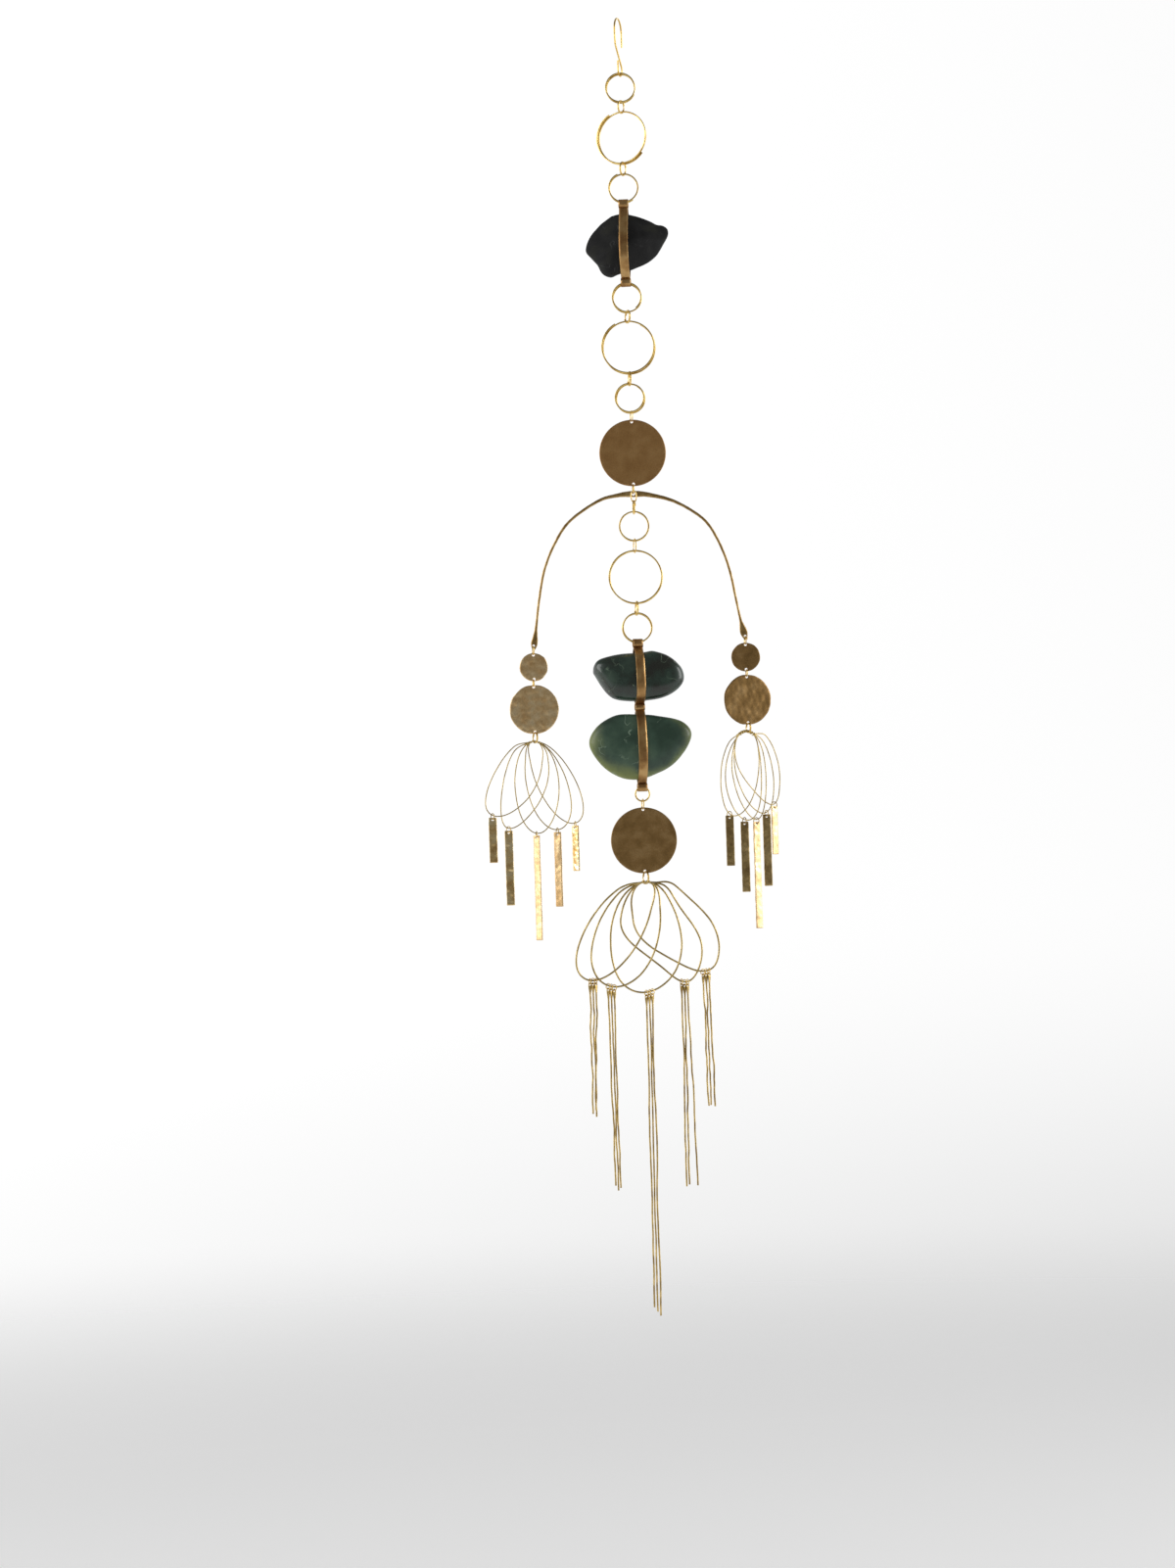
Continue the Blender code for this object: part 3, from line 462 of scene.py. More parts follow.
def build_wire_tree():
    tree, given, sink = new_group(
        "wire",
        [("Radius", "Float"), ("Width", "Float"), ("Roundness", "Float"), ("Sides", "Int"), ("Hammer", "Float"),
         ("Waver", "Float"), ("Seed", "Float"), ("Finish", "Material")],
    )
    curve = tree.node("GeometryNodeMeshToCurve", {}, {"Mesh": given["Geometry"]})
    place = tree.node("GeometryNodeInputPosition")
    shifted = tree.node(
        "ShaderNodeVectorMath",
        {"operation": "ADD"},
        {0: place, 1: tree.node("ShaderNodeCombineXYZ", {}, {"X": given["Seed"]})},
    )
    drift = tree.node(
        "ShaderNodeTexNoise", {}, {"Vector": shifted, "Scale": 70.0, "Detail": 1.0}, output="Color"
    )
    centred = tree.node(
        "ShaderNodeVectorMath", {"operation": "SUBTRACT"}, {0: drift, 1: (0.5, 0.5, 0.5)}
    )
    offset = tree.node(
        "ShaderNodeVectorMath", {"operation": "SCALE"}, {0: centred, "Scale": given["Waver"]}
    )
    curve = tree.node("GeometryNodeSetPosition", {}, {"Geometry": curve, "Offset": offset})
    taps = tree.node("ShaderNodeTexNoise", {}, {"Vector": shifted, "Scale": 330.0, "Detail": 1.0})
    swell = 1.0 + (taps - 0.5) * given["Hammer"]
    curve = tree.node("GeometryNodeSetCurveRadius", {}, {"Curve": curve, "Radius": swell})
    section = tree.node("GeometryNodeCurvePrimitiveCircle", {}, {"Resolution": given["Sides"], "Radius": 1.0})
    corner = []
    for axis, reach in (("X", given["Width"]), ("Y", given["Radius"])):
        along = tree.node("ShaderNodeSeparateXYZ", {}, {"Vector": place}, output=axis)
        size = tree.node("ShaderNodeMath", {"operation": "ABSOLUTE"}, {0: along})
        blunt = tree.node("ShaderNodeMath", {"operation": "POWER"}, {0: size, 1: given["Roundness"]})
        corner.append(tree.node("ShaderNodeMath", {"operation": "SIGN"}, {0: along}) * blunt * reach)
    shaped = tree.node("ShaderNodeCombineXYZ", {}, {"X": corner[0], "Y": corner[1]})
    section = tree.node("GeometryNodeSetPosition", {}, {"Geometry": section, "Position": shaped})
    inputs = {"Curve": curve, "Profile Curve": section, "Fill Caps": True}
    mesh = tree.node("GeometryNodeCurveToMesh", {}, inputs)
    if "Scale" in tree.tree.nodes[-1].inputs:
        radius = tree.node("GeometryNodeInputRadius")
        tree.tree.links.new(radius.socket, tree.tree.nodes["Curve to Mesh"].inputs["Scale"])
    mesh = tree.node("GeometryNodeSetShadeSmooth", {}, {"Geometry": mesh})
    close_group(tree, mesh, given["Finish"], sink)
    return tree.tree


WIRE_TREE = build_wire_tree()
print("wire tree with", len(WIRE_TREE.nodes), "nodes")


# %% Running a tree on a piece
def run_tree(name, mesh, group, values):
    """Applies a Geometry Nodes tree to a mesh and returns the result as a plain object."""
    source = bpy.data.objects.new(f"{name}_source", mesh)
    bpy.context.scene.collection.objects.link(source)
    modifier = source.modifiers.new("Nodes", "NODES")
    modifier.node_group = group
    for item in group.interface.items_tree:
        if item.in_out == "INPUT" and item.name in values:
            modifier[item.identifier] = values[item.name]
    bpy.context.view_layer.update()
    evaluated = source.evaluated_get(bpy.context.evaluated_depsgraph_get())
    result = bpy.data.meshes.new_from_object(evaluated)
    bpy.data.objects.remove(source, do_unlink=True)
    shape = bmesh.new()
    shape.from_mesh(result)
    bmesh.ops.recalc_face_normals(shape, faces=shape.faces)
    shape.to_mesh(result)
    shape.free()
    obj = bpy.data.objects.new(name, result)
    bpy.context.scene.collection.objects.link(obj)
    return obj


def line_mesh(name, paths, closed=False):
    """A mesh of edges along each path, in millimetres."""
    points, edges = [], []
    for path in paths:
        start = len(points)
        points += [tuple(Vector(p) * MM) for p in path]
        edges += [(k, k + 1) for k in range(start, len(points) - 1)]
        if closed:
            edges.append((len(points) - 1, start))
    mesh = bpy.data.meshes.new(name)
    mesh.from_pydata(points, edges, [])
    return mesh


def make_wire(name, paths, radius, finish, width=None, round_to=1.0, sides=10, hammer=0.1, waver=0.0,
              seed=0.0, closed=False):
    """Wires along paths, as one piece. Lengths are in millimetres. width is half the wire's size
    along its ring's axis where it was hammered flat, and round_to under 1 gives blunt corners."""
    values = {
        "Radius": radius * MM, "Width": (width or radius) * MM, "Roundness": round_to, "Sides": sides,
        "Hammer": hammer,
        "Waver": waver * MM, "Seed": float(seed), "Finish": METALS[finish],
    }
    return run_tree(name, line_mesh(name, paths, closed), WIRE_TREE, values)


print("wires can be made")

# %% [markdown]
# ## The hook
#
# One length of bright wire, bent over the back and then forwards under the first ring. Its line is
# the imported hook's, with the corners eased as a bending jig leaves them.


# %% S-hook
def arc(middle, radius, start, end, pieces):
    """Points of an arc as (depth, height), with angles in degrees."""
    angles = [radians(start + (end - start) * k / pieces) for k in range(pieces + 1)]
    return [(middle[0] + radius * cos(a), middle[1] + radius * sin(a)) for a in angles]


def hook_path():
    upper = [(9.7, -20.0), (9.7, -15.0), *arc((0, -9.0), 9.7, 0, 180, 8), (-9.6, -13.0), (-8.9, -17.6), (-7.2, -21.5)]
    lower = [(3.4, -35.6), *arc((0, -38.9), 4.2, 0, -180, 6), (-4.2, -35.0), (-4.2, -31.7)]
    points = [(*turned(0, depth, -16), height) for depth, height in upper]
    for depth, height in lower:
        x, y = turned(0, depth, -20)
        points.append((x + 0.75, y, height))
    return smooth_path(points, 6)


hook = make_wire("s_hook_wire", [hook_path()], 0.68, "bright_brass", sides=12, hammer=0.06)
settle(hook, "bright_brass", "s_hook")
print("hook of", len(hook.data.polygons), "faces")

# %% [markdown]
# ## Split rings
#
# Each ring is a wire hammered flat and wound twice round a mandrel, like a key ring. The two turns
# lie side by side in depth, and because each was tapped on its own, one stands out past the other
# over part of the way. The two cut ends show as small steps.

# %% Split rings
RING_WIRE, RING_SPREAD, CHAIN_ACROSS = 0.65, 0.7, 0.6
# For each ring: the angles of its two cut ends, and how far and which way the two turns part
RINGS = {
    "small_ring_1": (2, -25, 0.9, 122), "large_ring_1": (118, -38, 0.9, 135),
    "small_ring_2": (112, -52, 0.6, 120), "small_ring_3": (-52, -84, 1.1, 105),
    "large_ring_2": (118, 62, 1.15, 125), "small_ring_4": (92, 60, 1.15, 130),
    "small_ring_5": (128, 75, 0.25, 90), "large_ring_3": (50, 15, 0.45, 140),
    "small_ring_6": (-28, -60, 0.45, 50),
}


def ring_path(node, front_end, back_end, part, part_way):
    low, high = node_box(node)
    middle = (low.z + high.z) / 2
    radius = (high.z - low.z) / 2 - RING_WIRE - part * 0.25
    turn = -24 if node == "large_ring_1" else 0
    total = 720 - (front_end - back_end) % 360
    count = round(total / (4 if radius < 15 else 2.5))
    path = []
    for k in range(count + 1):
        share = k / count
        angle = radians(front_end + total * share)
        side = 2 * share - 1
        depth = RING_SPREAD * max(-1, min(1, side * 4))
        shift = -part / 2 * max(-1, min(1, side * 4))
        x, y = turned(radius * cos(angle) + shift * cos(radians(part_way)), depth, turn)
        path.append((CHAIN_ACROSS + x, y, middle + radius * sin(angle) + shift * sin(radians(part_way))))
    return path


for number, (node, (front_end, back_end, part, part_way)) in enumerate(RINGS.items()):
    ring = make_wire(
        f"{node}_turns", [ring_path(node, front_end, back_end, part, part_way)], 0.6, "bright_brass",
        width=0.72, round_to=0.55, sides=12, hammer=0.12, seed=number,
    )
    settle(ring, "bright_brass", node)
print(len(RINGS), "split rings")

# %% [markdown]
# ## Jump rings
#
# A jump ring is wire wound on a rod and cut off, here mostly two turns long so that it can't pull
# open. A second tree puts one coil on each point of a mesh, with its radius and its turn about the
# vertical read from the point, and then sweeps the wire, so that every coil has the same thickness.


# %% The coil tree
def build_coil_tree():
    tree, given, sink = new_group(
        "coils",
        [("Wire", "Float"), ("Turns", "Float"), ("Spread", "Float"), ("Sides", "Int"), ("Finish", "Material")],
    )
    coil = tree.node(
        "GeometryNodeCurveSpiral",
        {},
        {"Resolution": 28, "Rotations": given["Turns"], "Start Radius": 1.0, "End Radius": 1.0,
         "Height": given["Spread"]},
    )
    half = tree.node("ShaderNodeCombineXYZ", {}, {"Z": given["Spread"] * -0.5})
    coil = tree.node("GeometryNodeTransform", {}, {"Geometry": coil, "Translation": half})
    values = {
        label: tree.node("GeometryNodeInputNamedAttribute", {"data_type": "FLOAT"}, {"Name": label})
        for label in ("radius", "turn", "start")
    }
    size = tree.node("ShaderNodeCombineXYZ", {}, {"X": values["radius"], "Y": values["radius"], "Z": 1.0})
    facing = tree.node("ShaderNodeCombineXYZ", {}, {"X": 0.0, "Y": pi / 2, "Z": values["turn"]})
    rotation = tree.node("FunctionNodeEulerToRotation", {}, {"Euler": facing})
    placed = tree.node(
        "GeometryNodeInstanceOnPoints",
        {},
        {"Points": given["Geometry"], "Instance": coil, "Rotation": rotation, "Scale": size},
    )
    spin = tree.node("ShaderNodeCombineXYZ", {}, {"Z": values["start"]})
    spin = tree.node("FunctionNodeEulerToRotation", {}, {"Euler": spin})
    placed = tree.node(
        "GeometryNodeRotateInstances", {}, {"Instances": placed, "Rotation": spin, "Local Space": True}
    )
    real = tree.node("GeometryNodeRealizeInstances", {}, {"Geometry": placed})
    section = tree.node(
        "GeometryNodeCurvePrimitiveCircle", {}, {"Resolution": given["Sides"], "Radius": given["Wire"]}
    )
    real = tree.node("GeometryNodeSetCurveRadius", {}, {"Curve": real, "Radius": 1.0})
    mesh = tree.node(
        "GeometryNodeCurveToMesh", {}, {"Curve": real, "Profile Curve": section, "Fill Caps": True}
    )
    mesh = tree.node("GeometryNodeSetShadeSmooth", {}, {"Geometry": mesh})
    close_group(tree, mesh, given["Finish"], sink)
    return tree.tree


COIL_TREE = build_coil_tree()
print("coil tree with", len(COIL_TREE.nodes), "nodes")


def make_coils(name, rows, wire, turns, spread, finish, sides=8):
    """Coils as one piece. A row is a middle, a radius, a turn and where its wire starts, in degrees."""
    mesh = bpy.data.meshes.new(name)
    mesh.from_pydata([tuple(Vector(row[0]) * MM) for row in rows], [], [])
    columns = {
        "radius": [row[1] * MM for row in rows],
        "turn": [radians(row[2]) for row in rows],
        "start": [radians(row[3]) for row in rows],
    }
    for label, numbers in columns.items():
        mesh.attributes.new(label, "FLOAT", "POINT").data.foreach_set("value", numbers)
    values = {
        "Wire": wire * MM, "Turns": turns, "Spread": spread * MM, "Sides": sides, "Finish": METALS[finish],
    }
    return run_tree(name, mesh, COIL_TREE, values)


# %% The chain's jump rings
# For each ring of the chain: its turn about the vertical, its number of turns and their spread
JUMP_RINGS = {
    "jump_ring_1": (-27, 1.9, 1.1), "jump_ring_2": (-24, 1.9, 1.1), "jump_ring_3": (20, 1.9, 1.3),
    "jump_ring_4": (8, 1.9, 1.3), "jump_ring_5": (10, 0.98, 0.3), "jump_ring_6": (9, 1.9, 1.4),
    "yoke_jump_ring": (-6, 1.9, 1.2),
}
for node, (turn, turns, spread) in JUMP_RINGS.items():
    low, high = node_box(node)
    middle, radius = (low + high) / 2, (high.z - low.z) / 2 - 0.48
    coil = make_coils(f"{node}_coil", [(middle, radius, turn, 70)], 0.46, turns, spread, "bright_brass")
    settle(coil, "bright_brass", node)

low, high = node_box("yoke_link")
middle = (low + high) / 2
path = [
    (middle.x + 2.05 * cos(2 * pi * k / 40), middle.y, middle.z + 4.4 * sin(2 * pi * k / 40)) for k in range(40)
]
settle(make_wire("yoke_link_wire", [path], 0.47, "bright_brass", closed=True), "bright_brass", "yoke_link")
low, high = node_box("oval_ring")
middle = (low + high) / 2
path = [
    (middle.x + 5.3 * cos(2 * pi * k / 48), middle.y, middle.z + 5.4 * sin(2 * pi * k / 48)) for k in range(48)
]
oval = make_wire("oval_ring_wire", [path], 0.62, "bright_brass", closed=True)
settle(oval, "bright_brass", "oval_ring")
print(len(JUMP_RINGS), "jump rings")

# %% [markdown]
# ## Hammered sheet
#
# Discs, strips and paddles are all cut from sheet. Each starts as an outline with its holes, filled
# with small triangles of even size, and gets a rim with eased edges. A Geometry Nodes tree then
# hammers it: round dents that meet in low ridges, and a slower bend of the whole sheet.


# %% The hammer tree
def build_hammer_tree():
    tree, given, sink = new_group(
        "hammer",
        [("Dent Depth", "Float"), ("Dent Size", "Float"), ("Bend", "Float"), ("Seed", "Float"),
         ("Direction", "Vector"), ("Finish", "Material")],
    )
    place = tree.node("GeometryNodeInputPosition")
    shift = tree.node("ShaderNodeCombineXYZ", {}, {"X": given["Seed"], "Y": given["Seed"]})
    place = tree.node("ShaderNodeVectorMath", {"operation": "ADD"}, {0: place, 1: shift})
    density = tree.node("ShaderNodeMath", {"operation": "DIVIDE"}, {0: 1.0, 1: given["Dent Size"]})
    dents = tree.node(
        "ShaderNodeTexVoronoi",
        {"feature": "SMOOTH_F1"},
        {"Vector": place, "Scale": density, "Smoothness": 0.3},
        output="Distance",
    )
    slow = tree.node("ShaderNodeTexNoise", {}, {"Vector": place, "Scale": density * 0.35, "Detail": 1.0})
    height = (dents - 0.45) * given["Dent Depth"] + (slow - 0.5) * given["Bend"]
    offset = tree.node("ShaderNodeVectorMath", {"operation": "SCALE"}, {0: given["Direction"], "Scale": height})
    moved = tree.node("GeometryNodeSetPosition", {}, {"Geometry": given["Geometry"], "Offset": offset})
    close_group(tree, moved, given["Finish"], sink)
    return tree.tree


HAMMER_TREE = build_hammer_tree()
print("hammer tree with", len(HAMMER_TREE.nodes), "nodes")


# %% Sheet
def inside(points, outline):
    """Which points lie inside an outline."""
    points, outline = np.asarray(points), np.asarray(outline)
    x, y = points[:, :1], points[:, 1:]
    x1, y1 = outline[:, 0], outline[:, 1]
    x2, y2 = np.roll(x1, -1), np.roll(y1, -1)
    crosses = ((y1 > y) != (y2 > y)) & (x < (x2 - x1) * (y - y1) / (y2 - y1 + 1e-12) + x1)
    return crosses.sum(axis=1) % 2 == 1


def offset_outline(outline, distance):
    """An outline moved outwards by a distance."""
    rows = np.asarray(outline, float)
    along = np.roll(rows, -1, axis=0) - np.roll(rows, 1, axis=0)
    along /= np.linalg.norm(along, axis=1)[:, None]
    area = np.sum(rows[:, 0] * np.roll(rows[:, 1], -1) - rows[:, 1] * np.roll(rows[:, 0], -1))
    out = np.stack([along[:, 1], -along[:, 0]], axis=1) * (1 if area > 0 else -1)
    return rows + out * distance


def circle(middle, radius, pieces):
    return [(middle[0] + x, middle[1] + y) for x, y in arc((0, 0), radius, 0, 360, pieces)[:-1]]


def make_sheet(
    name, outline, holes, thick, finish, middle, turn=0.0, pitch=0.9, dent=0.0, dent_size=3.0, bend=0.0, seed=0.0
):
    """A cut sheet with eased edges. outline and holes are (across, height) about the middle."""
    ease = min(0.22, thick * 0.3)
    loops = [offset_outline(outline, -ease)] + [offset_outline(hole, ease) for hole in holes]
    rims = [np.asarray(outline, float)] + [np.asarray(hole, float) for hole in holes]
    low, high = loops[0].min(axis=0), loops[0].max(axis=0)
    grid = []
    for row, height in enumerate(np.arange(low[1], high[1], pitch * 0.866)):
        for across in np.arange(low[0] + (row % 2) * pitch / 2, high[0], pitch):
            grid.append((across, height))
    grid = np.array(grid)
    keep = inside(grid, offset_outline(loops[0], -pitch * 0.5))
    for hole in loops[1:]:
        keep &= ~inside(grid, offset_outline(hole, pitch * 0.4))
    flat, edges = [], []
    for loop in loops:
        start = len(flat)
        flat += [tuple(p) for p in loop]
        edges += [(start + k, start + (k + 1) % len(loop)) for k in range(len(loop))]
    flat += [tuple(p) for p in grid[keep]]
    flat, _, triangles, *_ = delaunay_2d_cdt([Vector(p) for p in flat], edges, [], 1, 1e-6)
    centres = np.array([sum((flat[k] for k in t), Vector((0, 0))) / 3 for t in triangles])
    solid = inside(centres, loops[0])
    for hole in loops[1:]:
        solid &= ~inside(centres, hole)
    triangles = [t for t, good in zip(triangles, solid) if good]
    count = len(flat)
    points = [(p[0], -thick / 2, p[1]) for p in flat] + [(p[0], thick / 2, p[1]) for p in flat]
    faces = [tuple(t) for t in triangles] + [tuple(k + count for k in reversed(t)) for t in triangles]
    start = 0
    for loop, rim in zip(loops, rims):
        size = len(loop)
        base = len(points)
        for side in (-1, 1):
            points += [(p[0], side * (thick / 2 - ease), p[1]) for p in rim]
        rows = [[start + k for k in range(size)], [base + k for k in range(size)],
                [base + size + k for k in range(size)], [count + start + k for k in range(size)]]
        for near, far in zip(rows, rows[1:]):
            for k in range(size):
                after = (k + 1) % size
                faces.append((near[k], near[after], far[after], far[k]))
        start += size
    placed = []
    for across, depth, height in points:
        x, y = turned(across, depth, turn)
        placed.append((middle[0] + x, middle[1] + y, middle[2] + height))
    blank = mesh_from(f"{name}_blank", placed, faces, METALS[finish])
    mesh = blank.data.copy()
    bpy.data.objects.remove(blank, do_unlink=True)
    values = {
        "Dent Depth": dent * MM, "Dent Size": dent_size * MM, "Bend": bend * MM, "Seed": float(seed),
        "Direction": (-sin(radians(turn)), cos(radians(turn)), 0.0), "Finish": METALS[finish],
    }
    return run_tree(name, mesh, HAMMER_TREE, values)


print("sheet can be cut")

# %% [markdown]
# ## Discs
#
# The two large discs are stamped blanks, flat and only lightly worked. The small ones were hammered
# hard, which also made their edges wander. Each has a hole near its top for the jump ring that
# holds it and a hole near its bottom for what it carries.

# %% Discs
HOLE, HOLE_INSET = 1.05, 1.7
# For each disc: middle, radius, turn, finish, dent depth and size, bend, edge wander and its slot
DISCS = {
    "upper_disc": ((1.2, 0, -330.7), 25.4, 0, "disc_bronze", 0.05, 2.5, 0.1, 0.05, "aged_bronze"),
    "lower_disc": ((0.6, 0, -626.3), 25.2, 0, "dark_bronze", 0.05, 2.5, 0.1, 0.05, "dark_bronze"),
    # The left discs' lighter brass is a painted reflection of a bright source
    "left_small_disc": ((-79.3, 0, -491.7), 10.9, 0, "pale_brass", 0.5, 3.6, 0.6, 0.28, "pale_brass"),
    "left_medium_disc": ((-79.9, 0, -524.0), 18.9, 0, "pale_brass", 0.6, 4.5, 0.9, 0.35, "pale_brass"),
    "right_small_disc": ((82.6, 0, -489.0), 11.1, 0, "dark_bronze", 0.35, 3.2, 0.4, 0.2, "dark_bronze"),
    "right_medium_disc": ((82.9, 0, -521.6), 19.2, 18, "dark_bronze", 0.35, 3.8, 0.5, 0.3, "dark_bronze"),
}


def disc_outline(radius, wander, seed):
    pieces = round(2 * pi * radius / 1.0)
    outline = []
    for k in range(pieces):
        a = 2 * pi * k / pieces
        wave = noise.noise(Vector((cos(a) * radius / 5, sin(a) * radius / 5, seed)))
        wide = radius - wander * 0.6 + wander * wave
        outline.append((wide * cos(a), wide * sin(a)))
    return outline


for number, (node, row) in enumerate(DISCS.items()):
    middle, radius, turn, finish, dent, dent_size, bend, wander, slot = row
    holes = [circle((0, side * (radius - HOLE_INSET)), HOLE, 14) for side in (1, -1)]
    disc = make_sheet(
        f"{node}_sheet", disc_outline(radius, wander, 7.3 * number), holes, 0.8, finish, middle, turn,
        dent=dent, dent_size=dent_size, bend=bend, seed=number + 0.5,
    )
    settle(disc, slot, node)
    top = node_box(node)[1].z
    low = middle[2] + radius - HOLE_INSET + 0.3
    reach = (top - 0.48 - low) / 2
    link = make_coils(f"{node}_jump_ring", [((middle[0], 0, low + reach), reach, 12, 60)], 0.44, 1.0, 0.4, "bright_brass")
    settle(link, "bright_brass")
print(len(DISCS), "discs")

# %% [markdown]
# ## The arch
#
# A rod hammered wide in its middle, where the chain's jump ring goes through it, and into a small
# paddle at each end. Its width in front and its depth are given at stations along the middle line,
# and a smooth curve through the stations makes the taper. The three holes are drilled last.

# %% Arch
# Middle line from the left tip to the right tip, with the width in front and the depth
ARCH = [
    (-78.9, -478.4, 2.4, 0.9), (-78.3, -473.6, 5.2, 1.0), (-77.2, -467.0, 3.2, 1.3), (-76.3, -460.0, 2.0, 1.8),
    (-73.2, -438.6, 1.9, 1.9), (-68.8, -417.9, 1.9, 1.9), (-60.2, -397.8, 2.0, 2.0), (-48.2, -381.1, 2.1, 2.0),
    (-26.8, -366.9, 2.3, 2.0), (-12.5, -362.9, 3.0, 1.9), (0.8, -362.0, 4.8, 1.8), (13.6, -363.2, 3.4, 1.9),
    (31.4, -368.4, 2.4, 2.0), (49.0, -378.9, 2.1, 2.0), (58.8, -389.2, 2.0, 2.0), (67.4, -406.7, 1.9, 1.9),
    (72.7, -423.8, 1.9, 1.9), (76.3, -443.3, 1.9, 1.9), (79.4, -460.0, 2.1, 1.8), (81.6, -469.6, 5.6, 1.1),
    (83.3, -475.8, 2.6, 0.9),
]
ARCH_HOLES = [(-78.9, -475.4, 0.95), (0.8, -361.9, 1.4), (82.7, -473.0, 0.95)]


def make_arch():
    rows = smooth_path(ARCH, 14)
    sides = 14
    points = []
    for k, (x, z, width, depth) in enumerate(rows):
        before, after = rows[max(k - 1, 0)], rows[min(k + 1, len(rows) - 1)]
        along = Vector((after[0] - before[0], 0, after[1] - before[1])).normalized()
        across = Vector((along.z, 0, -along.x))
        for side in range(sides):
            a = 2 * pi * side / sides
            flat_cos = abs(cos(a)) ** 0.8 * (1 if cos(a) > 0 else -1)
            flat_sin = abs(sin(a)) ** 0.8 * (1 if sin(a) > 0 else -1)
            place = Vector((x, 0, z)) + across * flat_cos * width / 2 + Vector((0, flat_sin * depth / 2, 0))
            tap = noise.noise(place * 0.35) * 0.14 + noise.noise(place * 0.9) * 0.06
            place += (across * flat_cos + Vector((0, flat_sin, 0))) * tap
            points.append(place)
    faces = []
    for k in range(len(rows) - 1):
        for side in range(sides):
            after = (side + 1) % sides
            faces.append((k * sides + side, k * sides + after, (k + 1) * sides + after, (k + 1) * sides + side))
    faces += [tuple(range(sides)), tuple(range((len(rows) - 1) * sides, len(rows) * sides))]
    arch = mesh_from("arch_rod", points, faces, METALS["arch_bronze"])
    for x, z, radius in ARCH_HOLES:
        rim = [(x + px, -4, z + pz) for px, pz in arc((0, 0), radius, 0, 360, 20)[:-1]]
        rim += [(px, 4, pz) for px, _, pz in rim]
        walls = [(k, (k + 1) % 20, 20 + (k + 1) % 20, 20 + k) for k in range(20)]
        drill = mesh_from("drill", rim, walls + [tuple(range(20)), tuple(range(20, 40))], METALS["arch_bronze"], False)
        cut = arch.modifiers.new("Hole", "BOOLEAN")
        cut.operation, cut.solver, cut.object = "DIFFERENCE", "EXACT", drill
        bpy.context.view_layer.update()
        evaluated = arch.evaluated_get(bpy.context.evaluated_depsgraph_get())
        mesh = bpy.data.meshes.new_from_object(evaluated)
        bpy.data.objects.remove(drill, do_unlink=True)
        bpy.data.objects.remove(arch, do_unlink=True)
        arch = new_object("arch_rod", mesh, METALS["arch_bronze"])
    return arch


arch = settle(make_arch(), "aged_bronze", "arch")
top = node_box("arch")[1].z
reach = (top - 0.48 + 361.9) / 2
link = make_coils("arch_jump_ring", [((0.8, 0, -361.9 + reach), reach, 8, 60)], 0.46, 1.0, 0.4, "bright_brass")
settle(link, "bright_brass")
print("arch of", len(arch.data.polygons), "faces")

# %% [markdown]
# ## Stones
#
# Water wears a stone towards a rounded lens. Each one here grows from its front outline, which
# shrinks towards the front and the back. Flats are then worn into it by pressing the points that
# stand past a plane back onto it, and a slow noise takes away the last of the regular shape.

# %% Stones
STONES = {
    "black_stone": {
        "middle": (1.8, -171.8), "thick": 23.0, "seed": 3.0, "rough": 0.7, "finish": "black_stone",
        "outline": [
            (-9.9, 24.1), (-13.4, 23.3), (-19.5, 19.1), (-26.4, 12.9), (-31.0, 7.2), (-32.4, 0.4), (-31.3, -5.4),
            (-27.2, -11.0), (-23.5, -15.5), (-20.7, -20.9), (-17.2, -23.8), (-12.4, -24.6), (-6.9, -22.5), (2.0, -20.3),
            (10.9, -17.2), (16.8, -14.0), (21.8, -10.3), (25.1, -6.2), (29.1, 0.4), (31.9, 6.2), (32.7, 11.1),
            (31.6, 13.8), (28.5, 15.4), (23.6, 15.9), (17.8, 19.0), (10.1, 21.7), (2.4, 23.4), (-4.5, 24.3),
        ],
        "flats": [((-0.45, -0.8, 0.4), 11.5), ((0.35, -0.85, -0.4), 10.8), ((0.3, -0.8, 0.5), 12.0)],
    },
    "upper_jade": {
        "middle": (0.3, -501.2), "thick": 24.0, "seed": 11.0, "rough": 0.35, "finish": "upper_jade",
        "outline": [
            (-35.1, 4.8), (-30.5, 13.4), (-14.8, 17.5), (3.8, 18.4), (12.5, 19.1), (24.7, 14.4), (33.7, 4.5),
            (34.0, -6.1), (23.2, -15.0), (5.7, -19.1), (-15.9, -17.8), (-26.3, -11.6), (-33.9, 0.4),
        ],
        "flats": [((-0.75, -0.45, -0.45), 24.0), ((0.1, -0.97, 0.2), 11.0)],
    },
    "lower_jade": {
        "middle": (0.2, -554.9), "thick": 21.0, "seed": 23.0, "rough": 0.25, "finish": "lower_jade",
        "outline": [
            (-39.2, 2.7), (-33.1, 16.1), (-19.3, 24.3), (-2.5, 25.0), (14.8, 23.2), (31.4, 19.0), (39.2, 10.1),
            (35.7, -1.6), (24.7, -14.2), (10.3, -21.8), (-2.8, -25.2), (-16.4, -22.9), (-30.4, -13.1),
        ],
        "flats": [((0.0, -0.98, 0.2), 10.2)],
    },
}
FULLNESS = 2.3


